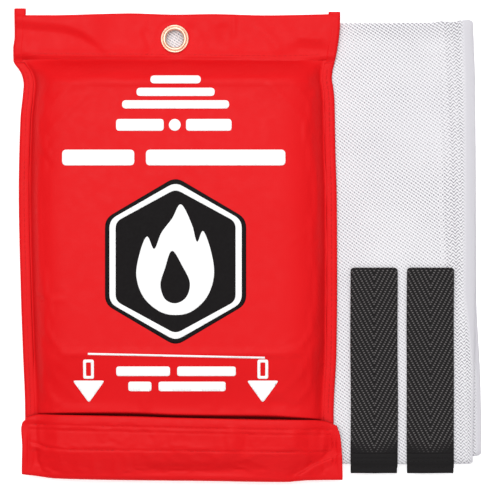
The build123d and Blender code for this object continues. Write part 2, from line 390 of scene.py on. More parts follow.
def glass_cloth():
    """White woven glass cloth. Its slanting gaps grow faint where the cloth is pressed at a fold, and grow
    darker toward the top fold as painted shade.
    """
    paint = Paint("glass_cloth", Roughness=0.75, Specular_IOR_Level=0.2, Sheen_Weight=0.05)
    tree = paint.tree
    turn, lean = math.cos(CLOTH_TILT), math.sin(CLOTH_TILT)
    drift = calc(tree, "MULTIPLY", calc(tree, "SUBTRACT", grain(tree, paint.cloth, 0.02, 1.0), 0.5), 2.0)
    across = calc(tree, "ADD", scaled_sum(tree, [(paint.u, turn), (paint.v, lean)]), drift)
    along = calc(tree, "ADD", scaled_sum(tree, [(paint.v, turn), (paint.u, -lean)]), drift)

    def yarns(turns_across, turns_along):
        pairs = [(across, turns_across / YARN_ACROSS), (along, turns_along / YARN_ALONG)]
        return wave(tree, scaled_sum(tree, pairs))

    near_fold = to_range(tree, paint.u, 107.0, 115.0, 0.0, 1.0)
    falling, rising = yarns(1, 1), yarns(1, -1)
    fine = calc(tree, "ADD", yarns(2, 0.5), yarns(2, -0.5))
    slow = calc(tree, "ADD", yarns(1, 0.5), yarns(1, -0.5))
    open_cloth = scaled_sum(tree, [(falling, 1.25), (rising, 0.45), (fine, 0.35), (slow, 0.25)])
    swing = calc(tree, "MULTIPLY", wave(tree, calc(tree, "MULTIPLY", across, 1 / ZIGZAG_ACROSS)), 0.42)
    zigzag = wave(tree, calc(tree, "MULTIPLY_ADD", along, 1 / YARN_ALONG, swing))
    folded_cloth = scaled_sum(tree, [(zigzag, 1.3), (falling, 0.35), (rising, 0.2), (slow, 0.35)])
    change = calc(tree, "SUBTRACT", folded_cloth, open_cloth)
    pattern = calc(tree, "MULTIPLY_ADD", change, near_fold, open_cloth)
    gaps = to_range(tree, pattern, -0.5, 1.9, 0.0, 1.0)
    lower_half = to_range(tree, paint.v, 50.0, 95.0, -7.0, 0.0)
    pressed = to_range(tree, calc(tree, "ADD", paint.u, lower_half), 121.6, 124.4, 1.0, 0.12)
    firmer = to_range(tree, near_fold, 0.0, 1.0, 1.0, 1.3)
    patch = to_range(tree, grain(tree, paint.cloth, 0.03, 3.0), 0.3, 0.7, 0.7, 1.0)
    # Painted shade: the weave's dark gaps grow up to half again darker toward the top fold, where the cloth
    # turns away.
    near_top = to_range(tree, paint.v, 238.0, 248.0, 1.0, 1.5)
    patch = calc(tree, "MULTIPLY", calc(tree, "MULTIPLY", patch, near_top), firmer)
    dark = calc(tree, "MULTIPLY", calc(tree, "MULTIPLY", gaps, patch), pressed)
    weave = blend_colours(tree, dark, rgb(244, 243, 246), rgb(130, 127, 136))
    flat = blend_colours(tree, to_range(tree, pressed, 0.12, 1.0, 0.0, 1.0), rgb(211, 209, 215), weave)
    soft = to_range(tree, grain(tree, paint.cloth, 0.012, 4.0), 0.3, 0.7, 0.0, 0.3)
    paint.set("Base Color", blend_colours(tree, soft, flat, rgb(220, 218, 224)))
    height = calc(tree, "MULTIPLY", calc(tree, "SUBTRACT", 1.0, gaps), pressed)
    paint.relief((height, 0.5, 0.2))
    return paint.material


def coated_fabric(name, scrim):
    """Red coated fabric: a satin skin over a fine base cloth, with faint scuffs and painted shade that
    darkens its creases.
    """
    paint = Paint(name, Specular_IOR_Level=0.09, Sheen_Weight=0.01)
    tree = paint.tree
    broad = grain(tree, paint.place, 22.0, 3.0)
    scuff = grain(tree, paint.place, 160.0, 5.0, 0.7)
    tone = to_range(tree, broad, 0.3, 0.7, 0.0, 1.0)
    red = blend_colours(tree, tone, rgb(223, 18, 23), rgb(226, 21, 26))
    worn = to_range(tree, scuff, 0.6, 0.8, 0.0, 0.10)
    red = blend_colours(tree, worn, red, rgb(240, 60, 60))
    # Painted shade: ambient occlusion darkens the red toward deep red in the creases and hollows it finds
    # within 10 mm.
    painted_crease_shade = to_range(tree, paint.openness(10.0), 0.2, 0.9, 1.0, 0.0)
    paint.set("Base Color", blend_colours(tree, painted_crease_shade, red, rgb(150, 4, 8)))
    paint.set("Roughness", to_range(tree, scuff, 0.3, 0.7, 0.38, 0.54))
    threads_x = wave(tree, calc(tree, "MULTIPLY", paint.u, 1 / 0.9))
    threads_y = wave(tree, calc(tree, "MULTIPLY", paint.v, 1 / 0.9))
    base_cloth = calc(tree, "ADD", threads_x, threads_y)
    leather = grain(tree, paint.place, 900.0, 4.0, 0.6)
    paint.relief((base_cloth, scrim, 0.05), (leather, 0.18, 0.10), (broad, 0.05, 0.4))
    return paint.material


def webbing(name, chevrons):
    """Black webbing. The map's u is the distance from the strap's middle, and v runs along it."""
    paint = Paint(name, Roughness=0.7, Specular_IOR_Level=0.15, Sheen_Weight=0.03)
    tree = paint.tree
    side = calc(tree, "ABSOLUTE", paint.u)
    rib = scaled_sum(tree, [(paint.v, 1 / CHEVRON_ALONG), (side, -1 / CHEVRON_ACROSS)])
    bead = calc(tree, "MULTIPLY", paint.v, 1 / BEAD_ALONG)
    partner = wave(tree, calc(tree, "SUBTRACT", bead, rib))
    fleck = scaled_sum(tree, [(wave(tree, rib), 1.0), (partner, 0.7), (wave(tree, bead), 0.4)])
    plain_end = calc(tree, "MULTIPLY_ADD", side, -0.36, paint.v)
    chevron = to_range(tree, plain_end, -119.5, -112.5, 0.0, chevrons)
    bright = calc(tree, "MULTIPLY", to_range(tree, fleck, 0.45, 1.95, 0.0, 1.0), chevron)
    fuzz = grain(tree, paint.place, 1400.0, 3.0)
    bright = calc(tree, "MULTIPLY", bright, to_range(tree, fuzz, 0.35, 0.65, 0.55, 1.0))
    paint.set("Base Color", blend_colours(tree, bright, rgb(25, 23, 24), rgb(122, 118, 118)))
    ribs = wave(tree, calc(tree, "MULTIPLY", paint.v, 1 / 0.8))
    relief = calc(tree, "MULTIPLY_ADD", fleck, chevrons, calc(tree, "MULTIPLY", ribs, 0.3))
    paint.relief((relief, 0.4, 0.15), (fuzz, 0.25, 0.08))
    return paint.material


def thread(name, colour, light):
    """Sewing thread with a fine twist."""
    paint = Paint(name, Roughness=0.6, Specular_IOR_Level=0.2)
    tree = paint.tree
    twist = grain(tree, paint.place, 1500.0, 2.0)
    paint.set("Base Color", blend_colours(tree, twist, colour, light))
    paint.relief((twist, 0.4, 0.06))
    return paint.material


def eyelet_metal():
    """Pale rose brass, polished, with a little tarnish."""
    paint = Paint("eyelet_metal", Metallic=0.6)
    tree = paint.tree
    tarnish = grain(tree, paint.place, 260.0, 3.0)
    tone = to_range(tree, tarnish, 0.35, 0.7, 0.0, 1.0)
    paint.set("Base Color", blend_colours(tree, tone, rgb(246, 206, 182), rgb(232, 182, 156)))
    paint.set("Roughness", to_range(tree, tarnish, 0.3, 0.7, 0.3, 0.42))
    paint.relief((grain(tree, paint.place, 1800.0, 2.0), 0.05, 0.02))
    return paint.material


def ink(name, colour, worn_colour):
    """Screen-printed ink with a faint crackle and small worn specks."""
    paint = Paint(name, Specular_IOR_Level=0.08)
    tree = paint.tree
    speck = grain(tree, paint.place, 700.0, 5.0, 0.7)
    worn = to_range(tree, speck, 0.66, 0.8, 0.0, 0.3)
    paint.set("Base Color", blend_colours(tree, worn, colour, worn_colour))
    paint.set("Roughness", to_range(tree, speck, 0.3, 0.7, 0.5, 0.66))
    paint.relief((speck, 0.12, 0.05))
    return paint.material


def hook_and_loop():
    """A black fastening strip with a dense pile."""
    paint = Paint("hook_and_loop", Roughness=0.9, Specular_IOR_Level=0.2, Sheen_Weight=0.1)
    tree = paint.tree
    cells = add(tree, "ShaderNodeTexVoronoi", {"Vector": paint.place, "Scale": 900.0})
    pile = cells.outputs["Distance"]
    paint.set("Base Color", blend_colours(tree, pile, rgb(52, 50, 51), rgb(20, 19, 20)))
    paint.relief((pile, 0.8, 0.3))
    return paint.material


def floor_surface():
    """A plain pale studio floor."""
    paint = Paint("studio_floor", Roughness=0.9, Specular_IOR_Level=0.1, Emission_Strength=0.45)
    tree = paint.tree
    tone = grain(tree, paint.place, 3.0, 2.0)
    paint.set("Base Color", blend_colours(tree, tone, rgb(252, 252, 252), rgb(254, 254, 254)))
    return paint.material


CLOTH = glass_cloth()
RED = coated_fabric("red_coated_fabric", 0.08)
TAPE = coated_fabric("red_tape", 0.22)
STRAP = webbing("herringbone_webbing", 1.0)
STRAP_PLAIN = webbing("plain_webbing", 0.0)
RED_THREAD = thread("red_thread", rgb(222, 15, 20), rgb(236, 28, 32))
BLACK_THREAD = thread("black_thread", rgb(18, 17, 18), rgb(34, 32, 33))
BRASS = eyelet_metal()
WHITE_INK = ink("white_ink", rgb(255, 255, 255), rgb(250, 226, 224))
BLACK_INK = ink("black_ink", rgb(19, 16, 17), rgb(60, 38, 38))
PILE = hook_and_loop()


# ---------------------------------------------------------------- blanket

PLIES = 4
CLOTH_THICK = 0.45
LEAF_LOW = {n: node_box(f"blanket_leaf_{n}")[0] for n in range(1, 5)}
LEAF_HIGH = {n: node_box(f"blanket_leaf_{n}")[1] for n in range(1, 5)}
LEAF_DEPTH = LEAF_HIGH[1][2] - LEAF_LOW[1][2]
PLY_PITCH = LEAF_DEPTH / PLIES
STACK_TOP = LEAF_HIGH[1][2]
FOLD_RUN = 7.6  # how far a rounded fold reaches in from its edge
INNER_PACKING = 0.78  # the spacing of the plies inside a fold, as a share of that in a leaf
LEAF_BODIES = {1: "top_leaf", 2: "second_leaf", 3: "third_leaf", 4: "fourth_leaf"}


def ply_path(low, high, step):
    """The line of one leaf's cloth, ply under ply, as (y, depth under the outer face)."""
    radius = PLY_PITCH / 2
    runs = max(2, int((high - low) / step))
    path = []
    for ply in range(PLIES):
        depth = (ply + 0.5) * PLY_PITCH
        ends = (low, high - radius) if ply == 0 else (low + radius, high - radius)
        if ply == PLIES - 1:
            ends = (low, high - radius)
        span = np.linspace(*ends, runs)
        if ply % 2:
            span = span[::-1]
        path += [(y, depth) for y in span]
        if ply < PLIES - 1:
            turn = 1 if ply % 2 == 0 else -1
            for angle in (45, 90, 135):
                lean = math.radians(angle)
                y = span[-1] + turn * radius * math.sin(lean) * 2.2
                path.append((y, depth + radius * (1 - math.cos(lean))))
    return np.array(path)


# How the top edge rises along X, and how the right edge is drawn in along Y, for the upper two
# leaves and the lower two.
UPPER_RISE = [
    (-125, -0.6), (40, -0.7), (104, -1.0), (109, 0.2), (113, 0.3), (117, 0.1), (123, 1.2), (132, 1.4),
]
UPPER_INSET = [(-126, 1.7), (-90, 1.0), (0, 0.2), (60, 0.1), (90, 0.2), (110, 0.8), (128, 1.5)]
LOWER_RISE = [(-125, 0.0), (60, 0.5), (132, -0.5)]
LOWER_INSET = [
    (-126, -0.6), (-100, -0.7), (-74, -0.2), (-55, 0.8), (-30, 2.0), (60, 2.4), (100, 3.2), (128, 6.0),
]


def settle(grid, upper):
    """The hand-folded unevenness of the stack: edges that wander and a gently wavy face."""
    x, y, z = grid[..., 0].copy(), grid[..., 1].copy(), grid[..., 2].copy()
    near_top, near_foot = smoothstep(y, 104, 126), smoothstep(y, -100, -122)
    if upper:
        rise, inset, corner = smooth_line(UPPER_RISE, x), smooth_line(UPPER_INSET, y), 3.5
    else:
        rise, inset, corner = smooth_line(LOWER_RISE, x), smooth_line(LOWER_INSET, y), 10.0
    edge = node_box("blanket_leaf_1")[1][0] if upper else node_box("blanket_leaf_3")[1][0]
    rounding = np.clip((x - (edge - corner)) / corner, 0, 1) ** 2.4 * corner * 0.45
    wander = ripple(x, z * 4.0, 26.0, 3 if upper else 4) * 0.55
    y_new = y + near_top * (rise - rounding + wander) - near_foot * (wander * 0.6 - rounding * 0.25)
    x_new = x - inset * smoothstep(x, edge - 34, edge - 4)
    lift = ripple(x, y, 46.0, 5) * 0.35 + ripple(x, y, 17.0, 6) * 0.12
    z_new = z + lift * smoothstep(z, 2.0, STACK_TOP) ** 2
    return np.stack([x_new, y_new, z_new], axis=-1)


def leaf_height(leaf, depth):
    """The height of a depth in a leaf. The cloth is turned over in every second leaf."""
    if leaf % 2:
        return LEAF_HIGH[leaf][2] - depth
    return LEAF_LOW[leaf][2] + depth


LAP = 4.0  # how far a leaf and its fold run on over each other
LAP_DIP = 0.32  # how far each of the two sinks below the other at its end


def leaf_piece(leaf, left, right, step):
    """One folded leaf of the blanket. It dips under the fold that it runs into."""
    path = ply_path(LEAF_LOW[leaf][1], LEAF_HIGH[leaf][1], step)
    columns = np.linspace(left, right, int((right - left) / step) + 2)
    columns = np.concatenate([columns, right + LAP * np.array((0.25, 0.5, 0.75))])
    dip = LAP_DIP * smoothstep(columns, right - LAP * 0.5, right + LAP * 0.75)
    inward = -1.0 if leaf % 2 else 1.0
    grid = np.zeros((len(path), len(columns), 3))
    grid[..., 0] = columns[None, :]
    grid[..., 1] = path[:, 0:1]
    grid[..., 2] = leaf_height(leaf, path[:, 1:2]) + inward * dip[None, :]
    lengths = np.concatenate([[0], np.cumsum(np.hypot(*np.diff(path, axis=0).T))])
    uv = np.stack(np.broadcast_arrays(columns[None, :], lengths[:, None]), axis=-1)
    piece = sheet_from_grid(
        f"blanket_quarter_{leaf}", settle(grid, leaf <= 2), CLOTH_THICK, CLOTH, uv
    )
    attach(piece, LEAF_BODIES[leaf])
    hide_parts(f"blanket_leaf_{leaf}")
    return piece


def fold_piece(upper_leaf, edge, side, run, step=3.0, steps=14):
    """The rounded fold of all the plies between a leaf and the one under it."""
    lower_leaf = upper_leaf + 1
    low = LEAF_LOW[upper_leaf][1] if upper_leaf != 2 else LEAF_LOW[3][1]
    high = LEAF_HIGH[upper_leaf][1] if upper_leaf != 2 else LEAF_HIGH[3][1]
    path = ply_path(low, high, step)
    middle = (LEAF_LOW[upper_leaf][2] + LEAF_HIGH[lower_leaf][2]) / 2
    outer = LEAF_HIGH[upper_leaf][2] - middle
    depth = path[:, 1:2] if upper_leaf % 2 else LEAF_DEPTH - path[:, 1:2]
    angles = np.linspace(0, math.pi, steps)
    lead = np.array((1.0, 0.75, 0.5, 0.25)) * LAP
    reach = np.concatenate([-lead, run * np.sin(angles), -lead[::-1]])[None, :]
    turn = np.concatenate([np.zeros(4), angles, np.full(4, math.pi)])[None, :]
    inner = depth - PLY_PITCH / 2
    dip = np.concatenate([lead, np.zeros(steps), lead[::-1]])[None, :] / LAP * LAP_DIP
    dip = dip * (1 - inner / LEAF_DEPTH)
    grid = np.zeros((len(path), turn.shape[1], 3))
    grid[..., 0] = edge - side * run + side * (reach - depth * np.sin(turn))
    grid[..., 1] = path[:, 0:1]
    face = outer - PLY_PITCH / 2
    grid[..., 2] = middle + (face - inner * INNER_PACKING - dip) * np.cos(turn)
    lengths = np.concatenate([[0], np.cumsum(np.hypot(*np.diff(path, axis=0).T))])
    arc = np.concatenate([-lead, angles * run, math.pi * run + lead[::-1]])[None, :]
    uv = np.stack(np.broadcast_arrays(edge - side * run + side * arc, lengths[:, None]), axis=-1)
    grid = settle(grid, upper_leaf < 3)
    if side < 0:
        grid, uv = grid[:, ::-1], uv[:, ::-1]
    names = {1: "upper_right_fold", 2: "left_fold", 3: "lower_right_fold"}
    piece = sheet_from_grid(names[upper_leaf], grid, CLOTH_THICK, CLOTH, uv)
    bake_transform(piece)
    return piece


def build_blanket():
    """Four folded leaves and the three folds between them."""
    right_upper, right_lower = LEAF_HIGH[1][0], LEAF_HIGH[3][0]
    left = LEAF_LOW[2][0]
    left_run = 4.0
    quarters = [
        leaf_piece(1, LEAF_LOW[1][0], right_upper - FOLD_RUN, 3.0),
        leaf_piece(2, left + left_run, right_upper - FOLD_RUN, 6.0),
        leaf_piece(3, left + left_run, right_lower - FOLD_RUN, 6.0),
        leaf_piece(4, LEAF_LOW[4][0], right_lower - FOLD_RUN, 6.0),
    ]
    folds = [
        fold_piece(1, right_upper, 1, FOLD_RUN),
        fold_piece(2, left, -1, left_run),
        fold_piece(3, right_lower, 1, FOLD_RUN),
    ]


# ---------------------------------------------------------------- pull straps

WEB_THICK = 1.15
STRAP_HALF = 12.8


def strap_section(low, high, base, top):
    """The line of a doubled strap seen from the side, from its foot, round and back."""
    radius = (top - base) / 2 - WEB_THICK / 2
    under, over = base + WEB_THICK / 2, top - WEB_THICK / 2
    run = np.linspace(low, high - radius, 150)
    lower_run = [(y, under) for y in run[::4]]
    turn = [
        (high - radius + radius * math.sin(a), (under + over) / 2 - radius * math.cos(a))
        for a in np.linspace(0.3, math.pi - 0.3, 6)
    ]
    upper_run = [(y, over) for y in run[::-1]]
    return np.array(lower_run + turn + upper_run)


def strap_piece(side):
    """A doubled herringbone pull loop, starting under its sewn tab."""
    low, high = node_box(f"strap_loop_{side}")
    centre = (low[0] + high[0]) / 2
    foot = node_box(f"strap_tab_{side}")[0][1] + 3.0
    path = strap_section(foot, high[1], low[2], high[2])
    columns = np.linspace(-STRAP_HALF, STRAP_HALF, 49)
    grid = np.zeros((len(path), len(columns), 3))
    grid[..., 0] = centre + columns[None, :]
    grid[..., 1] = path[:, 0:1]
    grid[..., 2] = path[:, 1:2]
    seed = 11 if side == "left" else 12
    sway = ripple(path[:, 0:1], 0.0, 60.0, seed) * 0.35
    corner = np.clip((np.abs(columns)[None, :] - STRAP_HALF + 1.6) / 1.6, 0, 1) ** 2 * 0.9
    grid[..., 0] += sway
    grid[..., 1] -= corner * smoothstep(path[:, 0:1], high[1] - 6, high[1])
    slant = path[:, 0:1] / CHEVRON_ALONG - np.abs(columns)[None, :] / CHEVRON_ACROSS
    herringbone = 0.07 * smoothstep(path[:, 0:1] - 0.36 * np.abs(columns)[None, :], -119.5, -112.5)
    on_top = smoothstep(path[:, 1:2], (low[2] + high[2]) / 2, high[2] - WEB_THICK / 2)
    crown = 0.15 * (1 - (columns[None, :] / STRAP_HALF) ** 4)
    grid[..., 2] += on_top * (herringbone * np.cos(TAU * slant) + crown - 0.1)
    lengths = np.concatenate([[0], np.cumsum(np.hypot(*np.diff(path, axis=0).T))])
    along = path[:, 0:1] + 0 * lengths[:, None]
    uv = np.stack(np.broadcast_arrays(columns[None, :], along), axis=-1)
    piece = sheet_from_grid(f"{side}_pull_strap", grid, WEB_THICK, STRAP, uv, edge=0.45)
    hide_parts(f"strap_loop_{side}")
    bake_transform(piece)
    return piece


def tab_piece(side):
    """The plain black band that holds a strap's foot to the hem and stands past its edge."""
    low, high = node_box(f"strap_tab_{side}")
    centre = (low[0] + high[0]) / 2
    strap_top = node_box(f"strap_loop_{side}")[1][2]
    over = strap_top + 0.35
    under = low[2] + 0.1
    edge_y = LEAF_LOW[1][1]
    top_y = np.linspace(high[1], low[1] + 1.0, 14)
    drop = 0.7 * smoothstep(-top_y, -edge_y - 1.2, 1.6 - edge_y)
    section = [(high[1] + 0.3, strap_top - 0.1)]
    section += list(zip(top_y, over - drop))
    middle = (over + under) / 2 - 0.5
    for angle in np.linspace(0.35, math.pi - 0.35, 5):
        reach = (over - 0.7 - under) / 2
        section.append((low[1] + 1.0 - math.sin(angle), middle + 0.1 + reach * math.cos(angle)))
    section += [(y, under - 0.3) for y in np.linspace(low[1] + 1.0, edge_y - 0.6, 4)]
    path = np.array(section)[::-1]
    columns = np.linspace(-STRAP_HALF - 0.1, STRAP_HALF + 0.1, 21)
    grid = np.zeros((len(path), len(columns), 3))
    grid[..., 0] = centre + columns[None, :] + ripple(path[:, 0:1], 0.0, 9.0, 14) * 0.12
    grid[..., 1] = path[:, 0:1] + ripple(columns[None, :], centre, 11.0, 15) * 0.07
    grid[..., 2] = path[:, 1:2]
    lengths = np.concatenate([[0], np.cumsum(np.hypot(*np.diff(path, axis=0).T))])
    uv = np.stack(np.broadcast_arrays(columns[None, :], lengths[:, None]), axis=-1)
    piece = sheet_from_grid(f"{side}_strap_tab", grid[:, ::-1], 0.7, STRAP_PLAIN, uv[:, ::-1])
    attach(piece, "top_leaf")
    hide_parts(f"strap_tab_{side}")
    starts, ends = [], []
    for row in (high[1] - 2.2, edge_y + 1.4):
        for index in range(9):
            x = centre - 10.8 + index * 2.7
            starts.append((x - 0.95, row, over + 0.32))
            ends.append((x + 0.95, row, over + 0.32))
    stitches = thread_row(f"{side}_tab_stitches", starts, ends, 0.2, BLACK_THREAD)
    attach(stitches, "top_leaf")
    return stitches


def build_straps():
    """Both pull straps with their sewn tabs."""
    for side in ("left", "right"):
        strap_piece(side)
        stitches = tab_piece(side)
        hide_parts("strap_tab_stitching")


# ---------------------------------------------------------------- pouch outline

FRONT_LOW, FRONT_HIGH = node_box("pouch_front_panel")
BACK_LOW, BACK_HIGH = node_box("pouch_back_panel")
COVER_LOW, COVER_HIGH = node_box("pouch_header_cover")
FLAP_LOW, FLAP_HIGH = node_box("closing_flap")
EAR_LOW, EAR_HIGH = node_box("header_end_tape_left")
EAR_RIGHT_HIGH = node_box("header_end_tape_right")[1]
EYELET_LOW, EYELET_HIGH = node_box("hanging_eyelet")
EYELET = (EYELET_LOW + EYELET_HIGH) / 2

SHEET_THICK = 0.55
TAPE_WIDTH = 5.8
TAPE_GAP = 1.0  # the crease between a seam tape and the puff of the panel
HEADER_FOOT = COVER_LOW[1]
MOUTH = FRONT_LOW[1]
BACK_MIDDLE = (BACK_LOW[2] + BACK_HIGH[2]) / 2
PUFF_BASE = FRONT_LOW[2] + 0.6
PUFF_TOP = FRONT_HIGH[2] - 0.5
SHELF_TOP = node_box("loop_strip")[0][2] - SHEET_THICK / 2

# The pouch's outline, as steps in or out from the front panel's straight sides.
LEFT_STEPS = [
    (-134, 1.7), (-118, 2.7), (-96, 2.7), (-59, 1.4), (-31, 0.4), (31, -0.9), (71, 0.0), (85, 1.4),
    (91, 1.9), (96, 1.0), (99.5, -0.8), (102.3, -3.0), (104.5, -4.0), (111, -4.0), (118, -3.2), (134, -3.3),
]
RIGHT_STEPS = [
    (-134, -0.9), (-118, -1.7), (-96, -1.8), (-60, -0.2), (-20, 0.2), (26, 0.0), (54, -0.8),
    (82, -1.3), (90, -2.1), (94, -2.8), (98, -2.5), (102, -1.6), (105, -0.8), (109, 0.0), (117, 1.2),
    (125, 1.9), (134, 2.0),
]


def left_edge(y):
    """The pouch's left edge."""
    return FRONT_LOW[0] + smooth_line(LEFT_STEPS, y)


def right_edge(y):
    """The pouch's right edge."""
    return FRONT_HIGH[0] + smooth_line(RIGHT_STEPS, y)


# The flap's four edges, as steps from its straight CAD outline.
FREE_STEPS = [
    (0, -0.6), (3, 0.7), (7, 1.5), (64, 0.6), (88, -0.1), (142, -1.2), (169, -1.6), (176, -2.4), (181, -5),
]
FOOT_STEPS = [
    (0, 4.4), (7, 3.6), (19, 2.1), (60, 1.2), (105, 0.7), (150, 0.1), (155, 0.5), (161, 1.0), (181, 1.2),
]
FLAP_LEFT_STEPS = [(0, 0.0), (12, 0.3), (20, 0.5), (30, -0.1), (33.5, 0.6), (35.5, 2.6), (38, 3.4)]
FLAP_RIGHT_STEPS = [(0, 0.3), (12, 0.0), (20, -0.5), (26, -1.2), (30, -2.5), (33, -4.4), (36, -6.5)]
GAP_WIDTHS = [(-134, 0.6), (-122, 1.2), (-90, 1.8), (-64, 2.2), (-40, 1.9), (10, 2.3), (33, 1.4), (44, 0.4)]


def free_edge(x):
    """The flap's free edge."""
    return FLAP_HIGH[1] + smooth_line(FREE_STEPS, x - FLAP_LOW[0])


def foot_edge(x):
    """The fold where the back panel turns up into the flap."""
    return FLAP_LOW[1] + smooth_line(FOOT_STEPS, x - FLAP_LOW[0])


def flap_sides(y):
    """The flap's left and right edges."""
    up = y - FLAP_LOW[1]
    left = FLAP_LOW[0] + smooth_line(FLAP_LEFT_STEPS, up)
    return left, FLAP_HIGH[0] + smooth_line(FLAP_RIGHT_STEPS, up)


# ---------------------------------------------------------------- cloth simulation


def cloth_change(grid, held, growth, cap, frames=24):
    """How far a sheet's points rise or fall when its slack settles over what it lies on.

    Blender's cloth solver runs at ten times the real size, over a stiff copy of the sheet.
    """
    rows, columns = grid.shape[:2]
    scene = bpy.context.scene
    scale = 10 * MM
    support_drop = 0.35  # the stiff copy lies this far under the sheet
    made = []
    for drop in (0.0, support_drop):
        points = grid.reshape(-1, 3) - np.array((0.0, 0.0, drop))
        mesh = bpy.data.meshes.new("slack")
        mesh.from_pydata((points * scale).tolist(), [], grid_faces(rows, columns))
        made.append(bpy.data.objects.new("slack", mesh))
        scene.collection.objects.link(made[-1])
    sheet, support = made
    support.modifiers.new("collision", "COLLISION")
    support.collision.thickness_outer = 0.001
    support.collision.cloth_friction = 8.0
    group = sheet.vertex_groups.new(name="held")
    group.add(np.flatnonzero(held.ravel()).tolist(), 1.0, "REPLACE")
    cloth = sheet.modifiers.new("cloth", "CLOTH")
    cloth.settings.vertex_group_mass = "held"
    cloth.settings.quality = 6
    cloth.settings.mass = 0.25
    cloth.settings.tension_stiffness = 25.0
    cloth.settings.compression_stiffness = 25.0
    cloth.settings.shear_stiffness = 12.0
    cloth.settings.bending_stiffness = 1.2
    cloth.settings.shrink_min = -growth
    cloth.collision_settings.distance_min = 0.001
    for frame_number in range(1, frames + 1):
        scene.frame_set(frame_number)
    graph = bpy.context.evaluated_depsgraph_get()
    settled = sheet.evaluated_get(graph).to_mesh()
    places = np.zeros(rows * columns * 3)
    settled.vertices.foreach_get("co", places)
    sheet.evaluated_get(graph).to_mesh_clear()
    for piece in made:
        mesh = piece.data
        bpy.data.objects.remove(piece)
        bpy.data.meshes.remove(mesh)
    scene.frame_set(1)
    change = places.reshape(rows, columns, 3)[..., 2] / scale - grid[..., 2]
    return cap * np.tanh(change / cap)


class Slack:
    """A simulated change of height over a sheet, read by share across and share along."""

    def __init__(self, change):
        self.change = change

    def at(self, across, along):
        rows, columns = self.change.shape
        column = np.clip(across, 0.0, 1.0) * (columns - 1)
        row = np.clip(along, 0.0, 1.0) * (rows - 1)
        c = np.minimum(column.astype(int), columns - 2)
        r = np.minimum(row.astype(int), rows - 2)
        s, t = column - c, row - r
        low = self.change[r, c] * (1 - s) + self.change[r, c + 1] * s
        high = self.change[r + 1, c] * (1 - s) + self.change[r + 1, c + 1] * s
        return low * (1 - t) + high * t


# ---------------------------------------------------------------- front panel

PANEL_FOLDS = [
    (0.55, 1.1, [(6.5, 97.5), (10.5, 95.5), (16.0, 92.0)]),
    (-0.45, 1.2, [(7.0, 94.6), (11.0, 92.8), (15.0, 90.4)]),
    (-0.7, 2.4, [(9.6, 29.0), (9.4, 44.0), (9.0, 62.0)]),
    (-0.6, 2.2, [(170.0, 30.0), (169.6, 46.0), (170.2, 66.0)]),
    (-0.5, 3.5, [(136.0, 36.0), (150.0, 31.0), (166.0, 29.0)]),
    (0.4, 1.4, [(166.0, 120.0), (170.5, 127.0)]),
    (-0.35, 1.5, [(9.0, 176.0), (15.0, 171.0), (20.0, 163.0)]),
    (-0.4, 2.0, [(160.0, 205.0), (166.0, 212.0), (169.0, 219.0)]),
    (0.35, 2.4, [(20.0, 224.0), (44.0, 219.0), (70.0, 221.0)]),
]


def front_shape(x, y):
    """The front panel as it is cut and filled: flat at its seams, and full between them."""
    left = left_edge(y) + TAPE_WIDTH + TAPE_GAP
    right = right_edge(y) - TAPE_WIDTH - TAPE_GAP
    across = np.clip((x - left) / (right - left), 0.0, 1.0)
    crown = 1 - np.abs(2 * across - 1) ** 11.0
    below_head = np.clip((HEADER_FOOT + 0.8 - y) / 15.0, 0.0, 1.0)
    head_rise = 0.07 + 0.93 * np.sin(below_head * math.pi / 2) ** 1.2
    shelf = (SHELF_TOP - PUFF_BASE) / (PUFF_TOP - PUFF_BASE)
    level = shelf + 0.05 + (0.95 - shelf) * smoothstep(y, -93.0, -58.0)
    gap = smooth_line(GAP_WIDTHS, x)
    wall = np.clip((y - free_edge(x) - 0.55 * gap) / (1.0 * gap + 0.4), 0.0, 1.0)
    strip = smoothstep(y, -100.4, -101.2) * (0.86 - 0.3 * smoothstep(-y, 113.0, 122.0))
    level = np.where(y > -100.3, level * np.sin(wall * math.pi / 2) ** 0.6, 0.0) + shelf * strip
    rise = (PUFF_TOP - PUFF_BASE) * crown * head_rise * level
    soft = 0.3 * ripple(x, y, 62.0, 24) + 0.05 * ripple(x, y, 24.0, 25)
    pucker_left = ripple(x * 0.3, y, 13.0, 21) * np.exp(-np.clip(x - left, 0, None) / 8.0)
    pucker_right = ripple(x * 0.3, y, 12.0, 22) * np.exp(-np.clip(right - x, 0, None) / 8.0)
    gathers = ripple(x, y * 0.3, 15.0, 23) * np.exp(-np.clip(HEADER_FOOT - y, 0, None) / 9.0)
    folds = creases(x, y, FRONT_LOW, PANEL_FOLDS)
    above_gap = smoothstep(y, -97.0, -88.0)
    inside = smoothstep(crown * head_rise, 0.0, 0.4)
    extra = soft + 0.35 * (pucker_left + pucker_right) + 0.3 * gathers + folds
    return PUFF_BASE + rise + inside * above_gap * extra


def panel_rows():
    """The rows of the front panel's grid, closer together at the gap above the flap."""
    coarse = [np.linspace(MOUTH, -102.0, 14), np.linspace(-92.5, HEADER_FOOT + 4.0, 128)]
    return np.concatenate([coarse[0], np.linspace(-101.4, -92.8, 36), coarse[1]])


def panel_grid(rows, shares):
    """A grid over the pouch's outline, with its columns at shares of the way across."""
    share = np.asarray(shares)[None, :]
    y = np.asarray(rows, float)[:, None] * np.ones_like(share)
    left, right = left_edge(y) + 0.4, right_edge(y) - 0.4
    return left + (right - left) * share, y


def panel_slack():
    """The front panel's cloth simulation, on a coarse grid."""
    x, y = panel_grid(np.linspace(MOUTH, HEADER_FOOT + 4.0, 84), np.linspace(0, 1, 66))
    grid = np.stack([x, y, front_shape(x, y)], axis=-1)
    held = (x < left_edge(y) + TAPE_WIDTH) | (x > right_edge(y) - TAPE_WIDTH)
    held |= (y > HEADER_FOOT) | (y < -92.0)
    return Slack(cloth_change(grid, held, growth=0.006, cap=0.9))


PANEL_SLACK = panel_slack()


